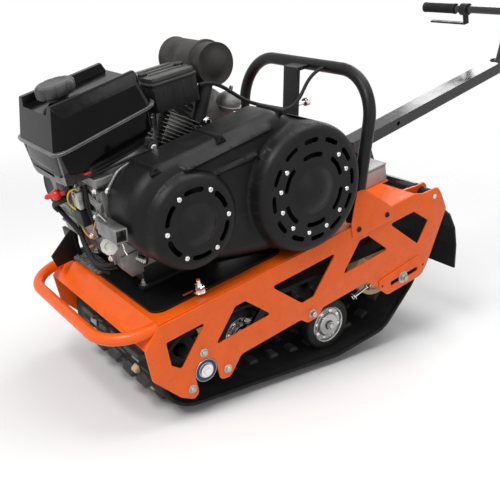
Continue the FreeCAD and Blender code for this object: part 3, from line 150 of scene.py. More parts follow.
for start, end in ((addNode(nodes, "TexCoord").outputs["Object"], away.inputs[0]),
                   (away.outputs["Value"], rim.inputs["Value"]),
                   (rim.outputs[0], fade.inputs[0]),
                   (floorShader.outputs[0], fade.inputs[1]),
                   (addNode(nodes, "BsdfTransparent").outputs[0], fade.inputs[2]),
                   (fade.outputs[0], nodes["Material Output"].inputs["Surface"])):
    links.new(start, end)
floorMesh.materials.append(floorLook)
print("camera, floor and lamps")


# tones: two colours that drift into each other, a plain number for a grey; rough: range of the roughness;
# grain and lumps: (scale, depth in micrometres); edge: lighter colour on corners, a painted highlight broken
# into patches like wear; rounding: how far a sharp corner is softened in shading; nodes: the CAD nodes that
# show it
finishes = {
    "orangePaint": {
        "slot": "orange_paint", "tones": ((0.86, 0.12, 0.006), (0.8, 0.106, 0.005)), "rough": (0.26, 0.38),
        "grain": (2600, 12), "lumps": (330, 40), "edge": (0.95, 0.3, 0.09), "rounding": 0.0014,
        "specular": 0.3,
        "nodes": ["side_plate_left", "side_plate_right", "deck_sheet", "front_bumper", "plate_brackets",
                  "hinge_lugs"]},
    "blackPaint": {
        "slot": "black_paint", "tones": ((0.0055, 0.0055, 0.0058), (0.0085, 0.0085, 0.009)),
        "rough": (0.3, 0.46), "grain": (2400, 20), "lumps": (420, 50), "edge": (0.06, 0.06, 0.065),
        "rounding": 0.0012, "specular": 0.2,
        "nodes": ["engine_plate", "guard_hoop", "guard_post", "suspension_arms", "starter_motor",
                  "cover_backing", "jack_shaft_bearings", "cross_members", "muffler", "drive_pulleys",
                  "pulley_shafts"]},
    "barPaint": {
        "slot": "black_paint", "tones": ((0.008, 0.008, 0.0085), (0.013, 0.013, 0.0135)),
        "rough": (0.13, 0.2), "edge": 0.06, "rounding": 0.0012,
        "nodes": ["steering_beam", "beam_brackets", "handlebar"]},
    "blackPlastic": {
        "slot": "black_plastic", "tones": ((0.01, 0.01, 0.0105), (0.015, 0.015, 0.0155)),
        "rough": (0.42, 0.58), "grain": (2600, 50), "edge": 0.07, "rounding": 0.001, "specular": 0.2,
        "nodes": ["fan_shroud", "engine_top_cover", "fuel_cap", "air_filter_box", "engine_switch_box",
                  "chain_case", "bar_levers", "vent_discs"]},
    "coverPlastic": {
        "slot": "black_gloss", "tones": (0.0065, 0.0095), "rough": (0.36, 0.48), "grain": (3200, 30),
        "lumps": (60, 120), "edge": (0.05, 0.05, 0.052), "rounding": 0.001, "specular": 0.17,
        "nodes": ["drive_cover"]},
    "tankGloss": {
        "slot": "black_gloss", "tones": ((0.002, 0.002, 0.0022), (0.0032, 0.0032, 0.0034)),
        "rough": (0.1, 0.2), "grain": (700, 10), "lumps": (45, 100), "rounding": 0.0015, "specular": 0.11,
        "nodes": ["fuel_tank"]},
    "trackRubber": {
        "slot": "track_rubber", "tones": ((0.006, 0.0062, 0.0062), (0.013, 0.013, 0.0135)),
        "rough": (0.6, 0.82), "grain": (1300, 100), "lumps": (160, 300), "edge": 0.05, "rounding": 0.0018,
        "specular": 0.2, "nodes": ["track"]},
    "softRubber": {
        "slot": "soft_rubber", "tones": (0.008, 0.013), "rough": (0.48, 0.66), "grain": (1800, 50),
        "rounding": 0.0012, "specular": 0.22,
        "nodes": ["road_wheel_tyres", "mud_flap", "handlebar_grips", "throttle_cable"]},
    "castAlloy": {
        "slot": "cast_alloy", "tones": ((0.15, 0.15, 0.148), (0.27, 0.27, 0.265)), "rough": (0.38, 0.58),
        "grain": (1500, 200), "lumps": (260, 200), "edge": (0.62, 0.62, 0.61), "rounding": 0.0014,
        "metal": 0.85, "nodes": ["crankcase", "cylinder_block", "cylinder_head"]},
    "machinedSteel": {
        "slot": "zinc_steel", "tones": (0.42, (0.55, 0.55, 0.54)), "rough": (0.22, 0.36), "grain": (1200, 20),
        "rounding": 0.0005, "metal": 1, "nodes": ["shaft_bearings"]},
    "zincSteel": {
        "slot": "zinc_steel", "tones": ((0.34, 0.335, 0.32), (0.46, 0.455, 0.44)), "rough": (0.24, 0.4),
        "grain": (1400, 30), "rounding": 0.0006, "metal": 1, "nodes": ["axles"]},
    "chromeSteel": {
        "slot": "chrome_steel", "tones": (0.72, 0.8), "rough": (0.08, 0.18), "grain": (900, 10),
        "rounding": 0.0005, "metal": 1, "nodes": ["frame_fasteners", "tilt_bolt"]},
    "creamNylon": {
        "slot": "cream_plastic", "tones": ((0.62, 0.46, 0.26), (0.74, 0.58, 0.36)), "rough": (0.42, 0.56),
        "grain": (900, 60), "edge": (0.82, 0.7, 0.5), "rounding": 0.001,
        "nodes": ["drive_sprockets", "road_wheel_hubs", "rear_idlers", "oil_filler_cap"]},
    # white battery case given a grey colour: painted shade
    "whiteCaseInPaintedShade": {
        "slot": "white_plastic", "tones": (0.36, (0.44, 0.44, 0.435)), "rough": (0.36, 0.5),
        "grain": (2200, 20), "rounding": 0.0014, "nodes": ["battery"]},
    # black gloss seam given a grey colour and light edges: a painted reflection of its bright lines
    "seamPaintedReflection": {
        "slot": "black_gloss", "tones": (0.1, 0.16), "rough": (0.2, 0.34), "grain": (1500, 10),
        "edge": (0.45, 0.45, 0.44), "rounding": 0.0006, "metal": 0.5},
    "capPlastic": {
        "slot": "black_plastic", "tones": ((0.028, 0.028, 0.029), (0.04, 0.04, 0.041)), "rough": (0.38, 0.52),
        "grain": (2600, 40), "edge": 0.09, "rounding": 0.0008},
    "scoopPlastic": {
        "slot": "black_plastic", "tones": (0.02, (0.032, 0.031, 0.03)), "rough": (0.24, 0.38),
        "grain": (2200, 30), "edge": 0.08, "rounding": 0.0012, "specular": 0.4},
    "lugRubber": {
        "slot": "track_rubber", "tones": ((0.026, 0.026, 0.027), (0.05, 0.05, 0.051)), "rough": (0.5, 0.72),
        "grain": (1500, 80), "lumps": (240, 200), "edge": 0.085, "rounding": 0.0016, "specular": 0.35},
    "clipSteel": {
        "slot": "zinc_steel", "tones": ((0.22, 0.22, 0.215), (0.36, 0.36, 0.35)), "rough": (0.3, 0.48),
        "grain": (1300, 60), "edge": (0.55, 0.55, 0.54), "rounding": 0.0008, "metal": 0.9},
    "hubAlloy": {
        "slot": "cast_alloy", "tones": ((0.3, 0.3, 0.295), (0.46, 0.46, 0.45)), "rough": (0.16, 0.3),
        "grain": (1500, 40), "lumps": (200, 60), "edge": (0.85, 0.85, 0.84), "rounding": 0.001, "metal": 1},
    "finAlloy": {
        "slot": "cast_alloy", "tones": ((0.1, 0.1, 0.098), (0.2, 0.2, 0.195)), "rough": (0.3, 0.5),
        "grain": (1500, 100), "edge": (0.72, 0.72, 0.7), "rounding": 0.0012, "metal": 0.85},
    "capAlloy": {
        "slot": "cast_alloy", "tones": ((0.5, 0.5, 0.47), (0.62, 0.62, 0.58)), "rough": (0.34, 0.5),
        "grain": (1500, 50), "edge": (0.8, 0.8, 0.76), "rounding": 0.0008, "metal": 0.35},
    "matRubber": {
        "slot": "soft_rubber", "tones": ((0.03, 0.03, 0.031), (0.2, 0.2, 0.205)), "rough": (0.45, 0.75),
        "patch": 160, "grain": (900, 300), "lumps": (300, 400), "rounding": 0.0012, "specular": 0.4},
    "mufflerPaint": {
        "slot": "black_paint", "tones": ((0.02, 0.019, 0.018), (0.045, 0.042, 0.04)), "rough": (0.5, 0.72),
        "grain": (1500, 80), "edge": (0.16, 0.15, 0.14), "rounding": 0.001, "specular": 0.3, "metal": 0.3},
    "darkSteel": {
        "slot": "black_paint", "tones": ((0.05, 0.05, 0.052), 0.1), "rough": (0.34, 0.52),
        "grain": (1300, 60), "edge": 0.3, "rounding": 0.0008, "metal": 0.7},
    "blueSeal": {
        "slot": "black_plastic", "tones": ((0.012, 0.03, 0.085), (0.02, 0.04, 0.11)), "rough": (0.42, 0.55),
        "grain": (1600, 30), "rounding": 0.0004},
    "redPlastic": {
        "slot": "black_plastic", "tones": ((0.7, 0.02, 0.015), (0.8, 0.03, 0.02)), "rough": (0.28, 0.4),
        "grain": (1800, 20), "rounding": 0.0006},
}
wireTones = {"yellowWire": ((0.74, 0.46, 0.02), (0.82, 0.56, 0.05)),
             "greenWire": ((0.05, 0.25, 0.06), (0.08, 0.32, 0.09)),
             "orangeWire": ((0.80, 0.22, 0.02), (0.86, 0.30, 0.05))}
for wireLook, tones in wireTones.items():
    finishes[wireLook] = {"slot": "black_plastic", "tones": tones, "rough": (0.4, 0.5), "grain": (1800, 20)}
# painted highlight on corners, partly wear: how much of the lighter edge colour goes on, broken into noise
# patches
edgeWearAndHighlight = {"samples": 4, "corners": (0.80, 0.985), "most": 0.8, "patches": 70, "least": 0.15}
texture = {"patch": 26, "smear": 38, "range": (0.35, 0.65), "depthGain": 4e-6, "strength": 0.6}
looks = {}


def finish(name):  # a painted, moulded, cast or plated surface from its line in the table above
    if name in looks:
        return looks[name]
    say = finishes[name]
    look = bpy.data.materials.new(name)
    nodes, links = nodeTree(look)
    shader = nodes["Principled BSDF"]
    shader.inputs["Metallic"].default_value = say.get("metal", 0.0)
    shader.inputs["Specular IOR Level"].default_value = say.get("specular", 0.5)
    place = addNode(nodes, "TexCoord")

    def speckle(scale, detail=4):
        noise = addNode(nodes, "TexNoise")
        noise.inputs["Scale"].default_value = scale
        noise.inputs["Detail"].default_value = detail
        links.new(place.outputs["Object"], noise.inputs["Vector"])
        return noise.outputs[0]

    def mix(share, *colours):
        node = addNode(nodes, "Mix", data_type="RGBA")
        links.new(share, node.inputs["Factor"])
        for socket, value in zip((node.inputs["A"], node.inputs["B"]), colours):
            if isinstance(value, bpy.types.NodeSocket):
                links.new(value, socket)
            else:
                socket.default_value = (value if isinstance(value, tuple) else (value,) * 3) + (1,)
        return node.outputs["Result"]

    def spread(value, low, high, fromRange=texture["range"]):
        node = addNode(nodes, "MapRange")
        links.new(value, node.inputs["Value"])
        for socket, number in zip(("From Min", "From Max", "To Min", "To Max"), (*fromRange, low, high)):
            node.inputs[socket].default_value = number
        return node.outputs[0]

    colour = mix(spread(speckle(say.get("patch", texture["patch"])), 0, 1), *say["tones"])
    last = None
    if "rounding" in say:
        soft = addNode(nodes, "Bevel", samples=edgeWearAndHighlight["samples"])
        soft.inputs["Radius"].default_value = say["rounding"]
        last = soft.outputs[0]
    # lighter edge colour where the rounded normal bends away from the face: a painted highlight, broken into
    # patches like wear
    if "edge" in say:
        match = addNode(nodes, "VectorMath", operation="DOT_PRODUCT")
        links.new(last, match.inputs[0])
        links.new(addNode(nodes, "NewGeometry").outputs["Normal"], match.inputs[1])
        wornAndHighlighted = addNode(nodes, "Math", operation="MULTIPLY")
        links.new(spread(match.outputs["Value"], edgeWearAndHighlight["most"], 0, edgeWearAndHighlight["corners"]), wornAndHighlighted.inputs[0])
        links.new(spread(speckle(edgeWearAndHighlight["patches"], 6), edgeWearAndHighlight["least"], 1), wornAndHighlighted.inputs[1])
        colour = mix(wornAndHighlighted.outputs[0], colour, say["edge"])
    links.new(colour, shader.inputs["Base Color"])
    links.new(spread(speckle(texture["smear"], 6), *say["rough"]), shader.inputs["Roughness"])
    for scale, depth in [say[key] for key in ("lumps", "grain") if key in say]:
        bump = addNode(nodes, "Bump")
        bump.inputs["Distance"].default_value = depth * texture["depthGain"]
        bump.inputs["Strength"].default_value = texture["strength"]
        links.new(speckle(scale, 3), bump.inputs["Height"])
        if last:
            links.new(last, bump.inputs["Normal"])
        last = bump.outputs[0]
    if last:
        links.new(last, shader.inputs["Normal"])
    looks[name] = look
    return look


for lookName, say in finishes.items():
    for nodeName in say.get("nodes", ()):
        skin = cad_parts[nodeName].data.materials
        skin.clear()
        skin.append(finish(lookName))
print("finishes on the frame")


# mesh tools, all in deck-frame millimetres

def alongAxis(spot, axis, spin=0):  # a matrix whose z axis runs along the given axis
    return (Matrix.Translation(spot) @ Vector(axis).normalized().to_track_quat("Z", "Y").to_matrix().to_4x4()
            @ Matrix.Rotation(math.radians(spin), 4, "Z"))


def around(centre, radius, turn):  # a point of a circle
    return centre[0] + radius * math.cos(turn), centre[1] + radius * math.sin(turn)


def evenTurns(count, start=0):  # turns spread evenly round a circle
    return [math.tau * (n + start) / count for n in range(count)]


def onPlane(pair, depth, plane):  # a point of an outline that is drawn in this plane, at this depth
    return Vector({"xz": (pair[0], depth, pair[1]), "xy": (*pair, depth), "yz": (depth, *pair)}[plane])


def pairs(ring):  # each point of a closed ring with the next one
    return zip(ring, ring[1:] + ring[:1])


def bridge(body, first, second):  # faces between two rings, either of which may be a single point
    count = max(len(first), len(second))
    for k in range(count):
        ring = [first[k % len(first)], first[(k + 1) % len(first)], second[(k + 1) % len(second)],
                second[k % len(second)]]
        ring = list(dict.fromkeys(ring))
        if len(ring) > 2:
            body.faces.new(ring)


def lathe(body, profile, spot, axis=acrossWay, steps=32, spin=0):  # profile: (radius, height) pairs
    at = alongAxis(spot, axis, spin)
    rings = [[body.verts.new(at @ Vector((*around((0, 0), radius, turn), along)))
              for turn in evenTurns(steps)[:steps if radius > 0 else 1]] for radius, along in profile]
    for first, second in zip(rings, rings[1:]):
        bridge(body, first, second)
    return rings


def softLine(points, divide=6):  # a smooth line through the given points
    points = [Vector(p) for p in points]
    if divide < 2 or len(points) < 3:
        return points
    line = []
    for before, start, end, after in zip(points[:1] + points, points, points[1:], points[2:] + points[-1:]):
        for step in range(divide):
            t = step / divide
            line.append(0.5 * (2 * start + (end - before) * t
                               + (2 * before - 5 * start + 4 * end - after) * t ** 2
                               + (3 * start - before - 3 * end + after) * t ** 3))
    return line + [points[-1]]


def rod(body, points, radius, steps=10, divide=6, ridge=0):  # a round rod or hose; ridge gives it rings
    line = softLine(points, divide)
    across = (line[1] - line[0]).orthogonal().normalized()
    rings = []
    for k, point in enumerate(line):
        ahead = (line[min(k + 1, len(line) - 1)] - line[max(k - 1, 0)]).normalized()
        across = (across - ahead * across.dot(ahead)).normalized()
        aside = ahead.cross(across)
        size = radius + (ridge if k % 2 else -ridge)
        rings.append([body.verts.new(point + size * (across * math.cos(turn) + aside * math.sin(turn)))
                      for turn in evenTurns(steps)])
    for first, second in zip(rings, rings[1:]):
        bridge(body, first, second)
    body.faces.new(rings[0][::-1])
    body.faces.new(rings[-1])


def pour(body, part, at=None):  # copy a small mesh into the body
    marks = {vert: body.verts.new(at @ vert.co if at else vert.co) for vert in part.verts}
    for face in part.faces:
        body.faces.new([marks[vert] for vert in face.verts])
    part.free()


def bevel(part, edges, width, segments, profile=0.6):
    bmesh.ops.bevel(part, geom=list(edges), offset=width, segments=segments, profile=profile, affect="EDGES",
                    clamp_overlap=True)


def soften(part, edges, width, segments=2):  # bevel these edges of a small mesh
    bmesh.ops.recalc_face_normals(part, faces=part.faces)
    if width > 0:
        bevel(part, edges, width, segments)


def block(body, low, high, rounding=1.5, at=None, segments=2, taper=0):  # a box; taper narrows its outer end
    low, high = Vector(low), Vector(high)
    middle = (low + high) / 2
    part = bmesh.new()
    bmesh.ops.create_cube(part, size=1,
                          matrix=Matrix.Translation(middle) @ Matrix.Diagonal((*(high - low), 1)))
    tip = high.z if high.z > 0 and low.z > -high.z else low.z
    for vert in part.verts:
        if taper and abs(vert.co.z - tip) < 0.01:
            vert.co.x += (middle.x - vert.co.x) * taper
            vert.co.y += (middle.y - vert.co.y) * taper * 0.35
    soften(part, part.edges[:], rounding, segments)
    pour(body, part, at)


def slab(body, outline, near, far, rounding=1.0, at=None, plane="xz"):  # an outline pushed from near to far
    part = bmesh.new()
    first, second = [[part.verts.new(onPlane(pair, depth, plane)) for pair in outline]
                     for depth in (near, far)]
    caps = {edge for face in (part.faces.new(first[::-1]), part.faces.new(second)) for edge in face.edges}
    bridge(part, first, second)
    soften(part, caps, rounding)
    pour(body, part, at)


def fill(body, rings):  # a flat face with holes, between an outer ring and the rings inside it
    edges = [body.edges.new(pair) for ring in rings for pair in pairs(ring)]
    bmesh.ops.triangle_fill(body, use_beauty=True, use_dissolve=False, edges=edges)


# a slab with holes, which go right through or as far in as holeDepth
def plate(body, outline, holes, near, far, rounding=0.8, at=None, plane="xz", holeDepth=None):
    part = bmesh.new()

    def ringsAt(depth, loops):
        return [[part.verts.new(onPlane(pair, depth, plane)) for pair in loop] for loop in loops]

    front = ringsAt(near, [outline] + holes)
    fill(part, front)
    if holeDepth is None:
        back = ringsAt(far, [outline] + holes)
        fill(part, back)
    else:
        back = ringsAt(far, [outline])
        part.faces.new(back[0])
    bridge(part, front[0], back[0])
    for n, hole in enumerate(holes):
        if holeDepth is None:
            bridge(part, front[n + 1], back[n + 1])
        else:
            pit, = ringsAt(near + math.copysign(holeDepth, far - near), [hole])
            bridge(part, front[n + 1], pit)
            part.faces.new(pit)
    rims = [part.edges.get(pair) for ring in (front[0], back[0]) for pair in pairs(ring)]
    soften(part, [edge for edge in rims if edge], rounding)
    pour(body, part, at)


# a hexagon head, with a flange, a washer or the end of a stud where these are given
def hexBolt(body, spot, axis=acrossWay, across=17, height=8, flange=0, washer=0, stud=0, spin=10):
    base = 1.6 if washer else 0
    if washer:
        lathe(body, [(0, 0), (washer, 0), (washer, base), (0, base)], spot, axis, 24)
    if flange:
        lathe(body, [(0, base), (flange, base), (flange, base + 1.3),
                     (across * 0.52, base + 2.6), (0, base + 2.6)], spot, axis, 24)
    corner, top = across * 0.577, base + height
    lathe(body, [(0, base), (corner, base), (corner, top - 1.2), (corner * 0.86, top), (0, top)], spot, axis,
          6, spin)
    if stud:
        lathe(body, [(0, base), (stud, base), (stud, top + stud * 0.9), (stud * 0.8, top + stud * 1.2),
                     (0, top + stud * 1.2)], spot, axis, 16)


screwHead = {"radius": 5.4, "height": 3.4, "crown": 0.62, "arm": 0.42, "armHalf": 0.13, "recess": 1.7}


def panScrew(body, spot, spin=20):  # low domed head with a crossed recess
    at = alongAxis(spot, acrossWay, spin)
    radius, height = screwHead["radius"], screwHead["height"]
    crown = radius * screwHead["crown"]
    lathe(body, [(radius, -0.5), (radius, height * 0.35), (radius * 0.86, height * 0.8), (crown, height)],
          spot, acrossWay, 20, spin)
    arm, half = radius * screwHead["arm"], radius * screwHead["armHalf"]
    cross = [(arm, -half), (arm, half), (half, half), (half, arm), (-half, arm), (-half, half), (-arm, half),
             (-arm, -half), (-half, -half), (-half, -arm), (half, -arm), (half, -half)]
    outer = [body.verts.new(at @ Vector((*around((0, 0), crown, turn), height))) for turn in evenTurns(20)]
    inner = [body.verts.new(at @ Vector((x, y, height))) for x, y in cross]
    pit = [body.verts.new(at @ Vector((x * 0.7, y * 0.7, height - screwHead["recess"]))) for x, y in cross]
    fill(body, (outer, inner))
    bridge(body, inner, pit)
    body.faces.new(pit)


def filleted(corners, radius, steps=5):  # the outline with its corners rounded; radius may differ per corner
    outline = []
    for k, corner in enumerate(corners):
        size = radius[k] if isinstance(radius, list) else radius
        here = Vector(corner)
        back = Vector(corners[k - 1]) - here
        ahead = Vector(corners[(k + 1) % len(corners)]) - here
        opening = back.angle(ahead)
        if size <= 0 or opening > 3.1:
            outline.append(tuple(here))
            continue
        cut = min(size / math.tan(opening / 2), back.length * 0.49, ahead.length * 0.49)
        start, end = here + back.normalized() * cut, here + ahead.normalized() * cut
        for n in range(steps + 1):
            t = n / steps
            outline.append(tuple((1 - t) ** 2 * start + 2 * t * (1 - t) * here + t * t * end))
    return outline


# the finished piece: the body it rides on, its material and the CAD nodes that it stands in for
def put(name, body, look, rides="tug", at=parked, sharp=34, stands=()):
    bmesh.ops.remove_doubles(body, verts=body.verts, dist=0.004)
    bmesh.ops.recalc_face_normals(body, faces=body.faces)
    body.transform(at)
    mesh = bpy.data.meshes.new(name)
    body.to_mesh(mesh)
    body.free()
    mesh.shade_smooth()
    mesh.set_sharp_from_angle(angle=math.radians(sharp))
    mesh.materials.append(finish(look))
    piece = bpy.data.objects.new(name, mesh)
    bpy.context.scene.collection.objects.link(piece)
    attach(piece, rides)
    if stands:
        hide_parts(*stands)


def bodies(count):  # empty meshes, one for each piece that is drawn side by side
    return [bmesh.new() for _ in range(count)]


def single(name, look, draw, *values, sharp=34, stands=(), **settings):  # a piece that one tool draws
    body = bmesh.new()
    draw(body, *values, **settings)
    put(name, body, look, sharp=sharp, stands=stands)


# circles: centre x, z and radius of the rounds whose hull is the outline; each boss: centre, radius, face,
# rounding; each row of slots: centre, radius, first turn, pitch, count, sweep; each rib: x, z, whether a
# screw boss ends it
bigDisc, smallDisc = (-399, 138), (-124, 170)
cover = {"circles": [(*bigDisc, 138), (*smallDisc, 98), (-104, 192, 100), (-352, 266, 44)], "back": 118,
         "face": 212, "rounding": 32, "blend": 14, "mesh": 5.5, "rimMesh": 7,
         "bosses": [(bigDisc, 137.5, 249, 20), (smallDisc, 97.5, 236, 23)],
         "domes": [(bigDisc, 50, 17), (smallDisc, 42, 15)], "dimple": (3, 1.6),
         "ridges": [((-131, 273), (-330, 290), 13, 10), ((-180, 243), (-290, 247), 11, 9)],
         "slotWidth": 10.5, "slotDepth": 5,
         "slots": [(bigDisc, 106, 3.5, 30, 12, 20), (bigDisc, 75, 34.5, 60, 6, 40),
                   (smallDisc, 67, 34, 60, 6, 38)],
         "screws": [(bigDisc, 90.8, 249, (17.8, 43.6, 143.2, 169.3, 197.9, 228.6, 257.5, 288.6, 319.4, 350)),
                    (smallDisc, 68.4, 236, (4.5, 64.5, 124.5, 184.5, 244.5, 304.5))],
         "ribs": [(-77, 287, True), (-225, 298.5, True), (-382, 303, False)], "ribRadius": 6.5, "ribEnd": 205}
ways = [around((0, 0), 1, turn) for turn in evenTurns(180)]
hullReach = [max((x * u + z * w + r, n) for n, (x, z, r) in enumerate(cover["circles"])) for u, w in ways]


def hullInset(x, z):  # distance inside the cover's outline
    return min(reach - x * u - z * w for (reach, _), (u, w) in zip(hullReach, ways))


def hullLoop(inset, spacing):  # evenly spaced points of the outline, drawn in by the inset
    loop = []
    for (_, n), (u, w) in zip(hullReach, ways):
        x, z, r = cover["circles"][n]
        loop.append((x + (r - inset) * u, z + (r - inset) * w))
    even = []
    for (x, z), (nextX, nextZ) in pairs(loop):
        if even and math.dist((x, z), even[-1]) < spacing * 0.6:
            continue
        pieces = max(1, round(math.dist((x, z), (nextX, nextZ)) / spacing))
        even += [(x + (nextX - x) * n / pieces, z + (nextZ - z) * n / pieces) for n in range(pieces)]
    return even


def fall(inset, rounding):  # how far a rounded edge has dropped at this distance inside it
    if inset >= rounding:
        return 0
    if inset <= 0:
        return rounding - inset * 5
    return rounding - math.sqrt(rounding ** 2 - (rounding - inset) ** 2)


def softMax(a, b, blend):  # the higher of two, rounded where they are close
    near = max(blend - abs(a - b), 0) / blend
    return max(a, b) + near * near * blend / 4


def coverHeight(x, z):  # how far out the cover's face stands
    height = cover["face"] - fall(hullInset(x, z), cover["rounding"])
    for (startX, startZ), (endX, endZ), rise, half in cover["ridges"]:
        runX, runZ = endX - startX, endZ - startZ
        share = min(max(((x - startX) * runX + (z - startZ) * runZ) / (runX ** 2 + runZ ** 2), 0), 1)
        off = math.hypot(x - startX - share * runX, z - startZ - share * runZ) / half
        height += rise * (1 - off * off) ** 2 if off < 1 else 0
    for centre, radius, top, rounding in cover["bosses"]:
        height = softMax(height, top - fall(radius - math.dist((x, z), centre), rounding), cover["blend"])
    for centre, radius, rise in cover["domes"]:
        out = math.dist((x, z), centre)
        ball = (radius ** 2 + rise ** 2) / (2 * rise)
        if out < radius:
            height += math.sqrt(ball ** 2 - out ** 2) - (ball - rise)
        dimple, sunk = cover["dimple"]
        if out < dimple:
            height -= sunk * (1 - (out / dimple) ** 2)
    return height


def slotLoop(centre, radius, middle, sweep):  # a curved slot with round ends
    half = cover["slotWidth"] / 2
    lead = math.degrees(half / radius)
    start, end = math.radians(middle - sweep / 2 + lead), math.radians(middle + sweep / 2 - lead)
    count = max(4, round((end - start) * radius / 4.5))
    arc = [start + (end - start) * k / count for k in range(count + 1)]
    loop = [around(centre, radius + half, turn) for turn in arc]
    loop += [around(around(centre, radius, end), half, end + math.pi * k / 6) for k in range(1, 6)]
    loop += [around(centre, radius - half, turn) for turn in reversed(arc)]
    return loop + [around(around(centre, radius, start), half, start + math.pi + math.pi * k / 6)
                   for k in range(1, 6)]


def inSlot(x, z):  # whether a place on the face lies in one of the slots
    half = cover["slotWidth"] / 2
    for centre, radius, first, pitch, count, sweep in cover["slots"]:
        out = math.dist((x, z), centre)
        if abs(out - radius) > half + 0.05:
            continue
        reach = math.radians(sweep / 2) - half / radius
        for k in range(count):
            middle = math.radians(first + pitch * k)
            turn = (math.atan2(z - centre[1], x - centre[0]) - middle + math.pi) % math.tau - math.pi
            endSpot = around(centre, radius, middle + math.copysign(reach, turn))
            if abs(turn) < reach or math.dist((x, z), endSpot) < half:
                return True
    return False


def coverField():  # points along every rim, rounding, boss and dome, and a lattice between them
    points, edges, near, cell = [], [], {}, 6

    def keep(x, z, gap=0):  # a new point, unless a kept one is already nearer than the gap
        column, row = int(x // cell), int(z // cell)
        if gap and any((x - px) ** 2 + (z - pz) ** 2 < gap * gap for i in (-1, 0, 1) for j in (-1, 0, 1)
                       for px, pz in near.get((column + i, row + j), ())):
            return None
        near.setdefault((column, row), []).append((x, z))
        points.append((x, z))
        return len(points) - 1

    def keepLoop(loop):
        marks = [keep(x, z) for x, z in loop]
        edges.extend(pairs(marks))
        return marks

    rim = keepLoop(hullLoop(0, cover["rimMesh"]))
    slotMarks = [keepLoop(slotLoop(centre, radius, first + pitch * k, sweep))
                 for centre, radius, first, pitch, count, sweep in cover["slots"] for k in range(count)]
    for step in range(1, 10):
        inset = cover["rounding"] * (1 - math.cos(math.radians(step * 10)))
        for x, z in hullLoop(inset, cover["rimMesh"]):
            keep(x, z, min(2.4, 0.35 + inset * 0.5))
    for centre, radius, _, rounding in cover["bosses"]:
        rings = [radius - rounding * (1 - math.cos(math.radians(step * 11.25))) for step in range(9)]
        for ring in rings + [radius + 1.5, radius + 3.5, radius + 6.5, radius + 10]:
            for turn in evenTurns(110):
                x, z = around(centre, ring, turn)
                if hullInset(x, z) > 0.6:
                    keep(x, z, 1.0 if ring > radius - 3 else 2.2)
    for centre, radius, _ in cover["domes"]:
        for ring, count in ((0, 1), (1.5, 8), (3, 10), (6, 14),
                            (radius - 4, 60), (radius, 64), (radius + 3, 64)):
            for turn in evenTurns(count):
                keep(*around(centre, ring, turn), 0.8)
    spacing = cover["mesh"]
    for row in range(-4, 60):
        for column in range(-100, 2):
            x, z = (column + 0.5 * (row % 2)) * spacing, row * spacing * 0.87
            if hullInset(x, z) > 3:
                keep(x, z, spacing * 0.62)
    return points, edges, rim, slotMarks


def makeCover():  # the face as one fine mesh with its slots cut in, then the side wall and the ribs
    points, edges, rim, slotMarks = coverField()
    flat, _, triangles, sources, _, _ = delaunay_2d_cdt(
        [Vector(p) for p in points], edges, [], 0, 0.0005, True)
    madeFrom = {mark: n for n, marks in enumerate(sources) for mark in marks}
    body = bmesh.new()
    verts = [body.verts.new((p.x, coverHeight(p.x, p.y), p.y)) for p in flat]
    for triangle in triangles:
        if not inSlot(sum(flat[k].x for k in triangle) / 3, sum(flat[k].y for k in triangle) / 3):
            body.faces.new([verts[k] for k in triangle])
    for marks in slotMarks:
        ring = [verts[madeFrom[mark]] for mark in marks]
        bridge(body, ring, [body.verts.new(v.co - Vector((0, cover["slotDepth"], 0))) for v in ring])
    last = [verts[madeFrom[mark]] for mark in rim]
    for share in (0.35, 0.5, 1):  # side wall, down to the back
        lower = [body.verts.new(v.co + Vector((0, (cover["back"] - v.co.y) * share, 0))) for v in last]
        bridge(body, last, lower)
        last = lower
    end, size = cover["ribEnd"], cover["ribRadius"]
    for x, z, ended in cover["ribs"]:  # half-round ribs across the top
        rod(body, [(x, cover["back"], z), (x, end - (6 if ended else 0), z)], size, 16, 1)
        if ended:
            slab(body, [(x - size * 1.7, z - 6), (x + size * 1.7, z - 6), (x + 2.5, z + size + 1.5),
                        (x - 2.5, z + size + 1.5)], end - 8, end, 1.0)
            lathe(body, [(3.6, 0), (3.2, 1), (2.2, 1), (1.8, 0.4), (0, 0.4)], (x, end - 0.4, z + 1), steps=16)
    return body


put("belt_cover", makeCover(), "coverPlastic", sharp=50, stands=("drive_cover", "vent_discs"))
screws = bmesh.new()
for centre, ring, face, turns in cover["screws"]:
    for turn in turns:
        x, z = around(centre, ring, math.radians(turn))
        panScrew(screws, (x, face, z), spin=turn * 7)
put("cover_screws", screws, "chromeSteel", sharp=30)
print("belt cover")


# profile: half of the section across the tank, as (y from its middle, z)
tank = {"back": -152, "front": 60, "middle": 13, "half": 100, "seam": 345, "tall": 76, "noseLean": 20,
        "tailLean": 18, "profile": [(100, 345), (97, 398), (78, 419), (73, 421), (63, 420), (57, 404)],
        "corner": 26, "edge": 3.2, "rise": 34, "taper": 12, "panFoot": 291, "panTop": 341, "panInset": 5,
        "panEdge": 13, "outlineCorner": 26, "seamLips": [(339.4, 341.6, 4.2), (342.6, 345.2, 5)],
        "seamCore": (341, 343, 1), "seamCorner": 28}


def tilted(body):  # the whole tank rises towards the back, and gets a little shallower
    for vert in body.verts:
        back = (tank["front"] - vert.co.x) / (tank["front"] - tank["back"])
        high = max(vert.co.z - tank["seam"], 0) / tank["tall"]
        vert.co.z += back * tank["rise"] - back * high * tank["taper"]
    return body


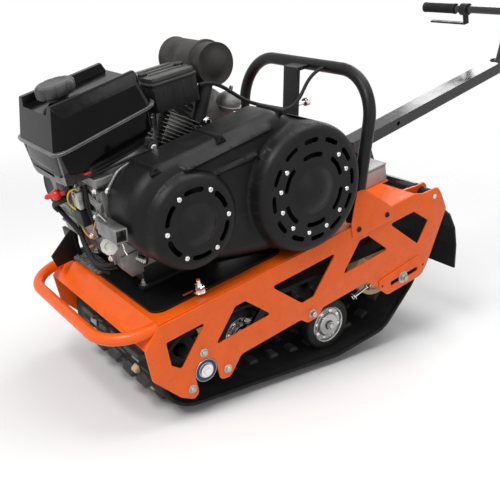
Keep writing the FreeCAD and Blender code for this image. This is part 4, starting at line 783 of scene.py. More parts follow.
def makeTank():
    body = bmesh.new()
    middle, half = tank["middle"], tank["profile"]
    outline = [(middle + y, z) for y, z in half] + [(middle - y, z) for y, z in reversed(half)]
    slab(body, outline, tank["back"], tank["front"], 0, plane="yz")
    for vert in body.verts:  # ends lean in towards the top
        share = (vert.co.z - tank["seam"]) / tank["tall"]
        vert.co.x -= tank["noseLean"] * share if vert.co.x > 0 else -tank["tailLean"] * share
    upright = [edge for edge in body.edges if min(abs(vert.co.y - middle) for vert in edge.verts) > 90
               and abs(edge.verts[0].co.z - edge.verts[1].co.z) > 40]
    bevel(body, upright, tank["corner"], 3, 0.32)
    upper = [edge for edge in body.edges if edge.calc_face_angle(0) > math.radians(24)
             and min(vert.co.z for vert in edge.verts) > tank["seam"] + 2]
    bevel(body, upper, tank["edge"], 3)
    return tilted(body)


def tankOutline(grow, corner):
    low, high = tank["middle"] - tank["half"] - grow, tank["middle"] + tank["half"] + grow
    back, front = tank["back"] - grow, tank["front"] + grow
    return filleted([(back, low), (front, low), (front, high), (back, high)], corner, 6)


put("tank_shell", makeTank(), "tankGloss", sharp=28, stands=("fuel_tank",))
pan, seam = bodies(2)
slab(pan, tankOutline(-tank["panInset"], tank["outlineCorner"]), tank["panFoot"], tank["panTop"], 0,
     plane="xy")
bevel(pan, [edge for edge in pan.edges if max(vert.co.z for vert in edge.verts) < tank["panFoot"] + 1],
      tank["panEdge"], 4, 0.5)
put("tank_pan", tilted(pan), "tankGloss", sharp=40)
# the seam's grey finish is a painted reflection on black gloss
for low, high, grow in tank["seamLips"]:
    slab(seam, tankOutline(grow, tank["seamCorner"]), low, high, 0.7, plane="xy")
low, high, grow = tank["seamCore"]
slab(seam, tankOutline(grow, tank["outlineCorner"]), low, high, 0, plane="xy")
put("tank_seam", tilted(seam), "seamPaintedReflection", sharp=50)

tankCap = {"x": -6, "foot": 410, "neck": 22, "radius": 38, "flats": 10, "flatDepth": 2.6}


def makeCap():
    body = bmesh.new()
    centre, radius, foot = (tankCap["x"], tank["middle"]), tankCap["radius"], tankCap["foot"]
    lathe(body, [(tankCap["neck"], foot - 2), (tankCap["neck"], foot + 7)], (*centre, 0), upward, 40)
    rings = lathe(body, [(20, foot + 6), (radius - 4, foot + 6), (radius - 1, foot + 8), (radius, foot + 11),
                         (radius, foot + 24), (radius - 2, foot + 28.5), (radius - 6, foot + 30.5),
                         (radius - 12, foot + 30.5), (radius - 14, foot + 28.8), (9, foot + 28.8),
                         (0, foot + 29)],
                  (*centre, 0), upward, 80)
    for vert in [vert for ring in rings[1:7] for vert in ring]:  # finger flats round the grip
        turn = math.atan2(vert.co.y - centre[1], vert.co.x - centre[0])
        dent = max(0, math.cos(turn * tankCap["flats"])) ** 3 * tankCap["flatDepth"]
        vert.co -= Vector((math.cos(turn), math.sin(turn), 0)) * dent
    return tilted(body)


put("tank_cap", makeCap(), "capPlastic", sharp=34, stands=("fuel_cap",))

# scoop under the tank, and the rail along its near side
scoop = {"front": 54, "back": 4, "depth": 46, "lean": 0.22, "leanBelow": 300,
         "face": [(-84, 339), (100, 339), (104, 304), (86, 273), (16, 266), (-80, 264)],
         "faceRounds": [2, 6, 14, 16, 10, 12], "opening": [(-70, 284), (34, 279), (42, 332), (-72, 332)],
         "side": [(6, 338), (6, 274), (-30, 284), (-120, 300), (-128, 338)], "sideRounds": [1, 10, 12, 8, 2]}
shell, rail = bodies(2)
plate(shell, filleted(scoop["face"], scoop["faceRounds"]), [filleted(scoop["opening"], 4, 3)], scoop["front"],
      scoop["back"], 3, plane="yz", holeDepth=scoop["depth"])
for vert in shell.verts:  # the face leans back towards its foot
    if vert.co.x > 10:
        vert.co.x -= max(0, scoop["leanBelow"] - vert.co.z) * scoop["lean"]
slab(shell, filleted(scoop["side"], scoop["sideRounds"]), -70, 96, 6)
put("scoop_housing", shell, "scoopPlastic", sharp=36, stands=("engine_top_cover",))
single("choke_tab", "redPlastic", block, (4, 98, 289), (17, 106, 293.5), 1)
rod(rail, [(-4, 112, 287), (-60, 113, 291), (-124, 113, 296)], 2.6, 10, 4)
rod(rail, [(2, 106, 290), (-50, 107, 297), (-118, 108, 306)], 1.6, 8, 4)
put("throttle_rod", rail, "blackPaint")
single("tank_roller", "softRubber", lathe,
       [(0, -10), (9.5, -10), (11.5, -8), (11.5, -2), (9.5, 0), (4, 0), (4, -2)], (-127, 116, 297))
single("tank_roller_bolt", "chromeSteel", hexBolt, (-127, 115.5, 297), across=9, height=4, flange=6.5)
print("fuel tank")


# side: the crankcase seen from the near side; frontRibs and sideRibs: bars cast across and down its front
engine = {"near": 106, "far": -164, "rounding": 5, "sideRounds": [4, 8, 20, 20, 4, 6, 4],
          "side": [(-228, 62), (-26, 62), (-8, 88), (-4, 130), (-2, 206), (-2, 248), (-228, 248)],
          "foot": [(-50, 54), (-22, 54), (-6, 84), (-6, 106), (-50, 106)],
          "frontRibs": (118, 142, 166, 190, 214), "sideRibs": (-60, -34, 74, 92), "crank": (-124, 104, 170),
          "flange": ((-17, 247), (-45, 276), (-110, 292))}
casting = bmesh.new()
slab(casting, filleted(engine["side"], engine["sideRounds"]), engine["far"], engine["near"],
     engine["rounding"])
slab(casting, filleted(engine["foot"], 5), 62, 110, 3)
lathe(casting, [(0, 0), (92, 0), (92, 4), (86, 6), (60, 6), (58, 9), (40, 10), (0, 10)], engine["crank"],
      acrossWay, 64)
for high in engine["frontRibs"]:
    block(casting, (-12, -150, high - 2), (3, -70, high + 2), 1.2)
for wide in engine["sideRibs"]:
    block(casting, (-14, wide - 2, 88), (2.5, wide + 2, 240), 1.2)
for (startX, startZ), (endX, endZ) in zip(engine["flange"], engine["flange"][1:]):  # follows the cover's edge
    slab(casting, [(startX - 8, startZ - 14), (startX, startZ), (endX, endZ), (endX - 4, endZ - 16)],
         96, 113, 2)
rod(casting, [(-12, 109, 243), (-30, 110, 262), (-46, 111, 277), (-70, 112, 284)], 4, 10, 4)
put("crankcase_casting", casting, "castAlloy", sharp=38, stands=("crankcase",))

mount = {"side": [(-232, 5), (-66, 5), (-50, 20), (-50, 60), (-232, 60)], "rails": (-146, 78), "railWide": 22,
         "top": 16, "bolts": ((-52, 89), (-228, 89), (-52, -135), (-228, -135))}
mounting, mountBolts = bodies(2)
slab(mounting, filleted(mount["side"], 3), -150, 96, 2.5)
for wide in mount["rails"]:
    block(mounting, (-240, wide, 5), (-40, wide + mount["railWide"], mount["top"]), 2)
put("engine_mount", mounting, "blackPaint", sharp=38)
for x, y in mount["bolts"]:
    hexBolt(mountBolts, (x, y, mount["top"]), upward, across=13, height=7, washer=10, stud=4)
put("mount_bolts", mountBolts, "zincSteel", sharp=30)

# sheet-metal pieces in front of the casting; the name plate leans and stays blank
sheetMetal = {"hood": [(-12, 256), (106, 256), (112, 262), (112, 276), (-16, 280)],
              "shield": [(-32, 192), (74, 200), (72, 168), (50, 138), (22, 122), (-4, 122), (-30, 146)],
              "shieldRounds": [3, 3, 8, 10, 8, 6, 3],
              "shieldHole": [(44, 176), (60, 180), (56, 160), (42, 152)],
              "namePlate": (0, 80, 220), "nameLean": -0.22}
cladding, latch, levers = bodies(3)
slab(cladding, filleted(sheetMetal["hood"], 3), -34, 4, 1.5, plane="yz")
plate(cladding, filleted(sheetMetal["shield"], sheetMetal["shieldRounds"]),
      [filleted(sheetMetal["shieldHole"], 3)], 5, -8, 1.2, plane="yz")
leaning = (Matrix.Translation(sheetMetal["namePlate"]) @ Matrix.Rotation(sheetMetal["nameLean"], 4, "X")
           @ Matrix.Translation(-Vector(sheetMetal["namePlate"])))
block(cladding, (-6, 56, 209), (4, 104, 231), 1.6, leaning)
block(cladding, (-3, 63, 213), (5.5, 98, 227), 1, leaning)
put("front_cladding", cladding, "castAlloy", sharp=36)

latchAt = Matrix.Translation((14, 0, 190)) @ Matrix.Rotation(math.radians(-8), 4, "Y")
plate(latch, filleted([(-13, -14), (13, -14), (13, 14), (-13, 14)], 3),
      [filleted([(-10, -11), (10, -11), (10, 11), (-10, 11)], 2)], 196, 122, 1, latchAt, holeDepth=26)
slab(latch, [(4, 178), (24, 182), (20, 204), (2, 200)], 104, 126, 2)
put("latch_box", latch, "castAlloy", sharp=36)
for radius, steps, route in (
        (2.2, 8, [(6, 84, 196), (10, 100, 206), (12, 112, 208), (13, 128, 206), (14, 142, 204)]),
        (2.2, 8, [(10, 96, 172), (13, 112, 172), (14, 128, 173), (13, 150, 176)]),
        (1.1, 6, [(14, 190, 178), (15, 196, 166), (13, 188, 160), (11, 192, 148)])):
    rod(levers, route, radius, steps, 5)
put("latch_levers", levers, "chromeSteel", sharp=60)

oilCap = {"spot": (2, 101, 136), "axis": (0.62, 0.72, 0.18), "grooves": 8, "grooveDepth": 0.055}
drain = {"spot": (-44, 106, 88), "axis": (-0.42, 0.86, -0.28), "threads": 5, "pitch": 4.2}
oilPlug = bmesh.new()
rings = lathe(oilPlug, [(0, -14), (13, -14), (13, -4), (17.5, -3), (18, -1), (18, 12), (16.5, 14), (9, 14.4),
                        (8, 12), (0, 12)], oilCap["spot"], oilCap["axis"], 6 * oilCap["grooves"])
for ring in rings[3:7]:
    middle = sum((vert.co for vert in ring), Vector()) / len(ring)
    for n, vert in enumerate(ring):
        if n % 6 in (0, 1):
            vert.co += (middle - vert.co) * oilCap["grooveDepth"]
put("oil_cap", oilPlug, "capAlloy", sharp=36, stands=("oil_filler_cap",))
threads = [(radius, n * drain["pitch"] + rise) for n in range(drain["threads"])
           for radius, rise in ((8.6, 0), (8.6, 2.4), (7.4, 2.9), (7.4, 3.9))]
single("drain_bolt", "machinedSteel", lathe, [(0, -6), (9, -6), *threads, (6.5, 22), (0, 22)], drain["spot"],
       drain["axis"], 28, sharp=30)

relay, darkBoxes, knob = bodies(3)
block(relay, (-4, 6, 199), (20, 38, 236), 2.2)
block(relay, (4, 10, 236), (14, 34, 240), 1)
lathe(relay, [(0, 0), (5, 0), (5, 2.5), (0, 2.5)], (20, 22, 228), forward, 20)
for y in (12, 31):
    hexBolt(relay, (8, y, 240), upward, across=6, height=3, stud=1.6)
put("relay_can", relay, "zincSteel", stands=("engine_switch_box",))
for low, high, rounding in (((-4, 2, 162), (22, 38, 196), 2.5), ((-4, -86, 190), (14, -10, 246), 3),
                            ((-4, 44, 172), (6, 54, 240), 2)):
    block(darkBoxes, low, high, rounding)
rod(darkBoxes, [(2, 52, 250), (6, 48, 224), (7, 46, 196), (6, 52, 170), (4, 60, 140)], 3.4, 10, 5)
put("switch_boxes", darkBoxes, "blackPlastic")

tap = {"spot": (22, -44, 216), "handle": (34, -52, 215), "axis": (0.75, -0.45, -0.1), "turned": 78}
lathe(knob, [(0, -12), (6, -12), (6, 0), (9.5, 2), (11.5, 7), (11, 14), (7, 19), (0, 21)], tap["spot"],
      tap["axis"], 28)
slab(knob, filleted([(-4, -4), (4, -5), (5.5, 17), (0, 22), (-5.5, 17)], 3), -3.4, 3.4, 2,
     alongAxis(tap["handle"], tap["axis"], tap["turned"]))
put("fuel_tap_knob", knob, "redPlastic", sharp=40)

# hoses and wires: each row has the radius, the steps round it, the steps along it and the route
pipes = [(4.2, 10, 6, [(8, -34, 126), (11, -22, 108), (14, 0, 90), (16, 30, 80), (10, 62, 80), (-2, 80, 84)]),
         (3.6, 10, 6, [(2, -46, 136), (7, -34, 108), (10, -10, 84), (12, 22, 70), (6, 56, 68),
                       (-10, 74, 70)]),
         (4.0, 10, 6, [(-2, -70, 130), (4, -52, 96), (6, -30, 66), (2, -8, 44), (-14, 10, 30)]),
         (2.4, 8, 6, [(14, -6, 236), (18, -22, 224), (16, -34, 212), (10, -40, 200)]),
         (2.4, 8, 6, [(14, 20, 250), (20, 2, 246), (18, -16, 236)])]
wires = {
    "yellow_wire": ("yellowWire", 1.7, [(12, 44, 246), (22, 40, 247), (27, 22, 238), (27, 2, 218),
                                        (24, -2, 202), (20, 14, 194)]),
    "yellow_wire_upper": ("yellowWire", 1.4, [(6, -30, 258), (13, -22, 251), (14, -10, 247), (10, 4, 242)]),
    "green_wire": ("greenWire", 1.4, [(14, -12, 200), (19, -20, 186), (18, -22, 168), (12, -18, 152),
                                      (8, -10, 140)]),
    "orange_wire": ("orangeWire", 1.6, [(6, -30, 152), (8, -10, 133), (8.5, 12, 127), (9, 32, 133),
                                        (9, 52, 158), (8, 78, 190)])}
single("hose_elbow", "softRubber", rod,
       [(14, -40, 204), (24, -52, 198), (27, -76, 188), (26, -92, 176), (22, -86, 166)],
       7.2, 14, 6, sharp=50)
single("ribbed_hose", "softRubber", rod,
       [(22, -86, 168), (19, -70, 156), (16, -54, 144), (12, -40, 130), (9, -30, 118)],
       5.2, 12, 9, ridge=0.55, sharp=24)
frontPipes, frontBolts = bodies(2)
for radius, steps, divide, route in pipes:
    rod(frontPipes, route, radius, steps, divide)
put("front_pipes", frontPipes, "softRubber", sharp=50)
for wireName, (look, radius, route) in wires.items():
    single(wireName, look, rod, route, radius, 8, 7, sharp=60)
for spot, across in (((-16, 113, 247), 9), ((4.5, -22, 182), 8), ((4.5, 64, 186), 8), ((4.5, 20, 132), 8),
                     ((3, 96, 250), 8), ((2.5, 84, 100), 9)):
    hexBolt(frontBolts, spot, acrossWay if spot[1] > 110 else forward,
            across=across, height=5, flange=across * 0.8)
put("front_bolts", frontBolts, "chromeSteel", sharp=30)

mat = {"outline": [(-48, -200), (-2, -196), (-6, -60), (-14, -48), (-44, -52)], "rounds": [10, 14, 16, 10, 6],
       "bars": 13, "pitch": 10.4}
baffle = {"sheet": [(-163, 276), (-176, 344), (-204, 344), (-226, 262)],
          "lip": [(-160, 276), (-172, 346), (-177, 346), (-166, 276)]}
frontMat, baffleSheet = bodies(2)
slab(frontMat, filleted(mat["outline"], mat["rounds"]), 4, 13, 2, plane="xy")
for n in range(mat["bars"]):  # grooves of the mat, as bars between them
    start = -188 + n * mat["pitch"]
    block(frontMat, (-42, start, 12), (-10, start + 5, 15), 1)
put("front_mat", frontMat, "matRubber", sharp=36)
slab(baffleSheet, filleted(baffle["sheet"], [3, 6, 6, 3]), 58, 61, 0.8)
slab(baffleSheet, filleted(baffle["lip"], 1), 54, 68, 0.8)
put("cooling_baffle", baffleSheet, "darkSteel")
print("engine")


# circles the belt runs round: x, z, radius, in the order the belt meets them; lugRows: two kinds that take
# turns; each inner lug: distance from the middle, half width, half length, height, taper
track = {"circles": [(-459, -266.5, 66), (-78, -151, 86), (-659, -201, 79), (-585, -266, 71)], "half": 205,
         "gauge": 9, "pitch": 62, "lugTall": 17, "lugReach": 155, "lugSkew": 2.5, "driveRow": 102,
         "lugRows": ([(-155, -112), (-92, -46), (-26, 26), (46, 92), (112, 155)],
                     [(-142, -72), (-46, -8), (8, 46), (72, 142)]),
         "bars": ((-60, 60), (124, 158), (-158, -124)),
         "innerLugs": ((122, 15, 14, 9, 0.3), (64, 12, 8, 8, 0))}


def beltLine(grow):  # the closed line round the circles, as (x, z, outward x, outward z)
    line, ways = [], []
    spots = [(x, z, r + grow) for x, z, r in track["circles"]]
    for (x1, z1, r1), (x2, z2, r2) in pairs(spots):
        dx, dz = x2 - x1, z2 - z1
        far = math.hypot(dx, dz)
        along = (r1 - r2) / far
        across = math.sqrt(1 - along * along)
        ways.append(((dx * along + dz * across) / far, (dz * along - dx * across) / far))
    for k, (x, z, r) in enumerate(spots):
        start, end = math.atan2(ways[k - 1][1], ways[k - 1][0]), math.atan2(ways[k][1], ways[k][0])
        end += math.tau if end < start else 0
        steps = max(2, round((end - start) * r / 6))
        for n in range(steps + 1):
            turn = start + (end - start) * n / steps
            line.append((*around((x, z), r, turn), math.cos(turn), math.sin(turn)))
        nextX, nextZ, nextR = spots[(k + 1) % len(spots)]
        goalX, goalZ = nextX + nextR * ways[k][0], nextZ + nextR * ways[k][1]
        fromX, fromZ = line[-1][:2]
        count = max(1, round(math.hypot(goalX - fromX, goalZ - fromZ) / 14))
        for n in range(1, count):
            line.append((fromX + (goalX - fromX) * n / count, fromZ + (goalZ - fromZ) * n / count, *ways[k]))
    return line


def spotsAlong(grow, lead=0.5):  # places on that line, a pitch apart
    line = beltLine(grow)
    legs = [math.dist(a[:2], b[:2]) for a, b in pairs(line)]
    count = round(sum(legs) / track["pitch"])
    places, walked, k = [], 0, 0
    for n in range(count):
        goal = (n + lead) * sum(legs) / count
        while walked + legs[k] < goal:
            walked += legs[k]
            k += 1
        share = (goal - walked) / legs[k]
        places.append(tuple(a + (b - a) * share for a, b in zip(line[k], line[(k + 1) % len(line)])))
    return places


def onBelt(place):  # a matrix with x along the belt, y across it and z outward
    x, z, outX, outZ = place
    return Matrix(((outZ, 0, outX, x), (0, 1, 0, 0), (-outX, 0, outZ, z), (0, 0, 0, 1)))


belt, lugs, innerLugs, clips = bodies(4)
gauge = track["gauge"]
section = [(4, gauge), (1, gauge - 1), (0, gauge - 3), (0, 3), (1, 0.8), (3, 0.2), (9, 0.2), (10.5, 1.2),
           (13, 1.2), (14.5, 0)]  # (distance from the edge, height)
section = [(y - track["half"], out) for y, out in section]
section += [(-y, out) for y, out in reversed(section)]
rings = [[belt.verts.new((x + outX * out, y, z + outZ * out)) for y, out in section]
         for x, z, outX, outZ in beltLine(0)]
for first, second in pairs(rings):
    bridge(belt, first, second)
put("track_belt", belt, "trackRubber", sharp=44, stands=("track",))

for k, place in enumerate(spotsAlong(gauge)):
    at = onBelt(place)
    block(lugs, (-5, -track["lugReach"], -1.5), (5, track["lugReach"], 6.5), 1.2, at, taper=0.3)
    for n, (low, high) in enumerate(track["lugRows"][k % 2]):
        skew = track["lugSkew"] * (1 if n % 2 else -1)
        block(lugs, (-9 + skew, low, -1.5), (9 + skew, high, track["lugTall"]), 1.6, at, taper=0.42)
        block(lugs, (-13 + skew, low + 8, -1.5), (13 + skew, high - 8, 4.5), 1.0, at, taper=0.3)
for place in spotsAlong(gauge, 0):  # low stiffening bars between the lugs
    for low, high in track["bars"]:
        block(lugs, (-4, low, -1.5), (4, high, 2.6), 0.8, onBelt(place), taper=0.4)
put("track_lugs", lugs, "lugRubber", sharp=40)
for place in spotsAlong(0):
    for side in bothSides:
        for mid, wide, long, tall, taper in track["innerLugs"]:
            block(innerLugs, (-long, side * mid - wide, -tall), (long, side * mid + wide, 1), 2,
                  onBelt(place), taper=taper)
for place in spotsAlong(0, 0):
    for side in bothSides:
        mid = side * track["driveRow"]
        block(clips, (-12, mid - 15, gauge - 0.6), (12, mid + 15, gauge + 2.4), 1.2, onBelt(place))
put("track_inner_lugs", innerLugs, "lugRubber", sharp=40)
put("track_clips", clips, "clipSteel", sharp=36)
print("track")

# sprockets, road wheels and idlers: each road wheel has its x, z and the distance of its face from the middle
wheels = {"sprocket": (-78, -151), "sprocketRim": 86, "boltRing": 46, "tooth": [0, 6, 2, 2, 6, 0],
          "road": [(-459, -266.5, 168), (-250, -214.4, 104)], "roadRadius": 65.5, "hubRadius": 47,
          "rivetRing": 35.5, "idler": (-659, -201), "idlerRim": 78, "idlerOut": 130, "spokes": 8}
teeth, carriers, tyres, hubs, rivets, idlers, tension, wheelCaps = bodies(8)
(x, z), rim = wheels["sprocket"], wheels["sprocketRim"]
for side in bothSides:
    mid = side * track["driveRow"]
    lathe(teeth, [(56, -11), (rim - 7, -11), (rim - 4, -8), (rim - 4, 8), (rim - 7, 11), (56, 11), (56, -11)],
          (x, mid, z), acrossWay, 72)
    lathe(carriers, [(16, -22), (34, -22), (36, -20), (36, -9), (52, -7), (57, -12), (57, 12), (52, 7),
                     (36, 9), (36, 20), (34, 22), (16, 22)], (x, mid, z), acrossWay, 48)
    for turn in evenTurns(6):
        boltX, boltZ = around((x, z), wheels["boltRing"], turn)
        lathe(carriers, [(0, 0), (6.5, 0), (6.5, 5), (5, 6), (0, 6)], (boltX, mid + side * 7, boltZ),
              (0, side, 0), 16)
tooth = filleted([(rim - 8, -13), (rim + 12, -8), (rim + 21, -2.5),
                  (rim + 21, 2.5), (rim + 12, 8), (rim - 8, 13)], wheels["tooth"])
for px, pz, _, _ in spotsAlong(0):  # a tooth wherever an inner space of the belt lies on the sprocket
    if math.dist((px, pz), (x, z)) < rim + 1:
        at = Matrix.Translation((x, 0, z)) @ Matrix.Rotation(-math.atan2(pz - z, px - x), 4, "Y")
        for side in bothSides:
            slab(teeth, tooth, side * track["driveRow"] - 9, side * track["driveRow"] + 9, 1.5, at)
put("sprocket_teeth", teeth, "creamNylon", sharp=36, stands=("drive_sprockets",))
put("sprocket_carriers", carriers, "blackPlastic", sharp=36)

radius, hub = wheels["roadRadius"], wheels["hubRadius"]
for wheelX, wheelZ, out in wheels["road"]:
    for side in bothSides:
        spot, axis = (wheelX, side * out, wheelZ), (0, side, 0)
        lathe(tyres, [(hub - 2, -27), (radius - 9, -28), (radius - 3, -26.5), (radius, -22), (radius, -6),
                      (radius - 2, -2), (radius - 7, 0), (hub + 3, 0.6), (hub - 1, -1.5), (hub - 2, -6)],
              spot, axis, 72)
        lathe(hubs, [(10, -29), (hub - 1, -29), (hub, -27), (hub - 1.5, -3), (hub, -0.6), (hub - 2, 1.2),
                     (hub - 4.5, 0), (hub - 6, -5.5), (31, -6.5), (29.5, -5), (28.5, 1.5), (26.5, 3.2),
                     (12, 3.2), (11, 1.2), (11, -4), (10, -4)], spot, axis, 64)
        lathe(hubs, [(0, 3.2), (8.8, 3.2), (8.8, 6.2), (7.6, 7.4), (0, 7.4)], spot, axis, 32)
        lathe(wheelCaps, [(0, -4), (9, -4), (9, 3), (7, 4), (7, 13), (5.6, 14.6), (0, 14.6)], spot, axis, 28)
        for turn in evenTurns(8, 0.5):
            rivetX, rivetZ = around((wheelX, wheelZ), wheels["rivetRing"], turn)
            lathe(rivets, [(5.2, -7), (5.2, -3.8), (4.2, -2.6), (2.2, -2.4), (2, -3.4), (0, -3.4)],
                  (rivetX, side * out, rivetZ), axis, 16)
put("road_tyres", tyres, "softRubber", sharp=36, stands=("road_wheel_tyres",))
put("road_hubs", hubs, "hubAlloy", stands=("road_wheel_hubs",))
put("hub_rivets", rivets, "chromeSteel")
put("wheel_axle_ends", wheelCaps, "machinedSteel")

(x, z), rim = wheels["idler"], wheels["idlerRim"]
for side in bothSides:
    spot = (x, side * wheels["idlerOut"], z)
    lathe(idlers, [(14, -24), (26, -24), (27, -22), (27, -12), (rim - 16, -12), (rim - 14, -16),
                   (rim - 1, -16.5), (rim, -15), (rim, 15), (rim - 1, 16.5), (rim - 14, 16), (rim - 16, 12),
                   (27, 12), (27, 22), (26, 24), (14, 24), (14, -24)], spot, acrossWay, 64)
    for turn in evenTurns(wheels["spokes"]):
        block(idlers, (26, -14, -3), (rim - 13, 14, 3), 1.2,
              Matrix.Translation(spot) @ Matrix.Rotation(turn, 4, "Y"))
put("idler_wheels", idlers, "creamNylon", sharp=36, stands=("rear_idlers",))

tensionBolt = {"out": 160, "axis": (1, 0, -0.13), "rod": [(-548, -238), (-640, -226)]}
for side in bothSides:
    out, axis = side * tensionBolt["out"], tensionBolt["axis"]
    rod(tension, [(x, out, z) for x, z in tensionBolt["rod"]], 4.2, 14, 1)
    hexBolt(tension, (-556, out, -237), axis, across=15, height=9, flange=11)
    hexBolt(tension, (-606, out, -230.5), axis, across=15, height=7)
    block(tension, (-648, out - 9, -236), (-640, out + 9, -208), 1.5)
put("tension_bolts", tension, "chromeSteel", sharp=32)
print("wheels")


# bolts of the side plates, the hinge and the brackets: spots are (x, z), faces are distances from the middle
fixings = {"plateFace": 228, "bracketFace": 231, "plateBolts": [(-38, -176), (-81, -108), (-128, -176)],
           "longBolt": (-368, -160), "axle": (-659, -201), "earScrews": [(-619, -13), (-528, -13)],
           "hinge": (-788, -32), "lugFace": 178.8, "shaft": (-78, -151), "shaftNut": 231.2,
           "bearingBack": 214, "bracketPins": [(-733, -199), (-588, -194)], "pinFace": 230.8}
heads, earScrews, hinge, races, seals, shaftNuts, bracketPins = bodies(7)
for side in bothSides:
    axis = (0, side, 0)

    def outward(key, face):  # a place on that side of the machine
        spot = fixings[key] if isinstance(key, str) else key
        return (spot[0], side * fixings[face], spot[1])

    for n, spot in enumerate(fixings["plateBolts"]):
        hexBolt(heads, outward(spot, "plateFace"), axis, across=12, height=7, flange=9.6, spin=14 + 23 * n)
    hexBolt(heads, outward("longBolt", "plateFace"), axis, across=13, height=11, flange=10, spin=5)
    hexBolt(heads, outward("axle", "bracketFace"), axis, across=18, height=8, flange=15.5, spin=20)
    hexBolt(hinge, outward("hinge", "lugFace"), (0, -side, 0), across=19, height=8, flange=12.5, spin=12)
    lathe(hinge, [(0, 148), (5, 148), (6, 149), (6, 228.4), (5, 229), (0, 229)],
          (fixings["hinge"][0], 0, fixings["hinge"][1]), axis, 24)
    for spot in fixings["earScrews"]:
        lathe(earScrews, [(0, 0), (6.6, 0), (6.6, 1.6), (5.4, 2.8), (3.2, 3.1), (3.0, 1.0), (0, 1.0)],
              outward(spot, "bracketFace"), axis, 28)
    for spot in fixings["bracketPins"]:
        lathe(bracketPins, [(0, 0), (3, 0), (3, 0.5), (2.3, 0.9), (0, 0.9)], outward(spot, "pinFace"), axis,
              20)
    for body, profile in (
            (races, [(24.2, 0.6), (24.2, 14.4), (24.6, 15), (25.4, 15), (26, 14.4), (26, 0.6), (25.4, 0),
                     (24.6, 0), (24.2, 0.6)]),
            (races, [(12.7, 0.4), (12.7, 14.4), (13.3, 15), (16.6, 15), (17.2, 14.4), (17.2, 0.4),
                     (12.7, 0.4)]),
            (seals, [(24.1, 1), (24.1, 13.4), (23.2, 14.3), (20.5, 14.6), (18.0, 14.0), (17.3, 13.4),
                     (17.3, 1), (24.1, 1)])):
        lathe(body, profile, outward("shaft", "bearingBack"), axis, 64)
    hexBolt(shaftNuts, outward("shaft", "shaftNut"), axis, across=16, height=7, washer=14.5, spin=8)
put("frame_bolts", heads, "zincSteel", stands=("frame_fasteners",))
put("bracket_screws", earScrews, "blackPaint")
put("hinge_bolts", hinge, "chromeSteel")
put("bracket_pins", bracketPins, "blackPaint")
put("bearing_races", races, "machinedSteel", stands=("shaft_bearings",))
put("bearing_seals", seals, "blueSeal")
put("shaft_bolts", shaftNuts, "chromeSteel")

stud = {"x": -121, "y": 192, "slot": [(-117, 174), (-88, 174), (-88, 180.5), (-117, 180.5)]}
studParts = bmesh.new()
studSpot = (stud["x"], stud["y"], 5)
lathe(studParts, [(0, 0), (15, 0), (15, 2), (13, 2.4), (13, 4), (0, 4)], studSpot, upward, 32)
hexBolt(studParts, (stud["x"], stud["y"], 9), upward, across=19, height=9, spin=12)
hexBolt(studParts, (stud["x"], stud["y"], 18), upward, across=15, height=8, spin=40)
lathe(studParts, [(0, 20), (4.6, 20), (4.6, 25.5), (3.9, 26.5), (0, 26.5)], studSpot, upward, 20)
put("plate_stud", studParts, "chromeSteel")
single("plate_stud_tip", "orangePaint", lathe, [(0, 26), (4, 26), (4, 28.5), (3, 30), (0, 30)], studSpot,
       upward, 20)
single("plate_slot", "orangePaint", slab, filleted(stud["slot"], 3), 4.8, 5.5, 0.2, plane="xy")
print("bolts and bearings")


def rectangle(low, high):
    return [low, (high[0], low[1]), high, (low[0], high[1])]


# air filter box: its lid is two steps, and each step has its corners, its rounds, its foot, top and edge
airFilter = {"low": (-274, -18), "high": (-166, 82), "foot": 345, "top": 398, "wallRibs": 5, "lidRibs": 3,
             "pitch": 22, "knobs": (-262, -178), "knobY": 32,
             "lid": [((-276, -20), (-164, 84), 18, 398.5, 403, 1),
                     ((-272, -16), (-168, 80), 16, 402, 413, 4)]}
base, lid, knobs = bodies(3)
slab(base, filleted(rectangle(airFilter["low"], airFilter["high"]), 16), airFilter["foot"], airFilter["top"],
     2, plane="xy")
for n in range(airFilter["wallRibs"]):
    start = -262 + n * airFilter["pitch"]
    block(base, (start, -19.6, 352), (start + 5, 83.6, 392), 0.8)
for low, high, corner, foot, top, edge in airFilter["lid"]:
    slab(lid, filleted(rectangle(low, high), corner), foot, top, edge, plane="xy")
for n in range(airFilter["lidRibs"]):
    start = 2 + n * airFilter["pitch"]
    block(lid, (-258, start, 412), (-182, start + 6, 415), 1)
for x in airFilter["knobs"]:
    lathe(knobs, [(0, 410), (9, 410), (9.5, 412), (9.5, 416), (8, 417.6), (0, 417.6)],
          (x, airFilter["knobY"], 0), upward, 24)
put("air_filter_base", base, "blackPlastic", stands=("air_filter_box",))
put("air_filter_lid", lid, "scoopPlastic")
put("air_filter_knobs", knobs, "blackPlastic")

# muffler drum across the back, with its tail pipe and the pipe from the leaning barrel
muffler = {"x": -332, "z": 398, "tail": 20, "tailAxis": (-0.9, 0, 0.1), "barrelFoot": (-124, -64, 170),
           "barrelLean": 25}
drum, pipe, dome = bodies(3)
lathe(drum, [(0, -99), (20, -99), (24, -97), (34, -95), (43.6, -98), (43.6, -93), (42, -91), (42, -40),
             (41, -38), (42, -36), (42, 18), (46.6, 20), (46.6, 26), (42, 28), (42, 54), (43.6, 56),
             (43.6, 61), (34, 58), (24, 60), (20, 62), (0, 62)],
      (muffler["x"], 0, muffler["z"]), acrossWay, 64)
lathe(drum, [(0, 40), (9, 40), (9, 52), (7, 52), (7, 42), (0, 42)],
      (muffler["x"], muffler["tail"], muffler["z"]), muffler["tailAxis"], 24)
put("muffler_drum", drum, "mufflerPaint", stands=("muffler",))
lathe(pipe, [(0, 66.3), (19, 66.3), (19, 71), (14, 71.5), (14, 108), (0, 108)], (-230, 0, 0), upward, 28)
pipe.transform(Matrix.Translation(muffler["barrelFoot"])
               @ Matrix.Rotation(math.radians(muffler["barrelLean"]), 4, "Y"))
put("exhaust_pipe", pipe, "darkSteel")

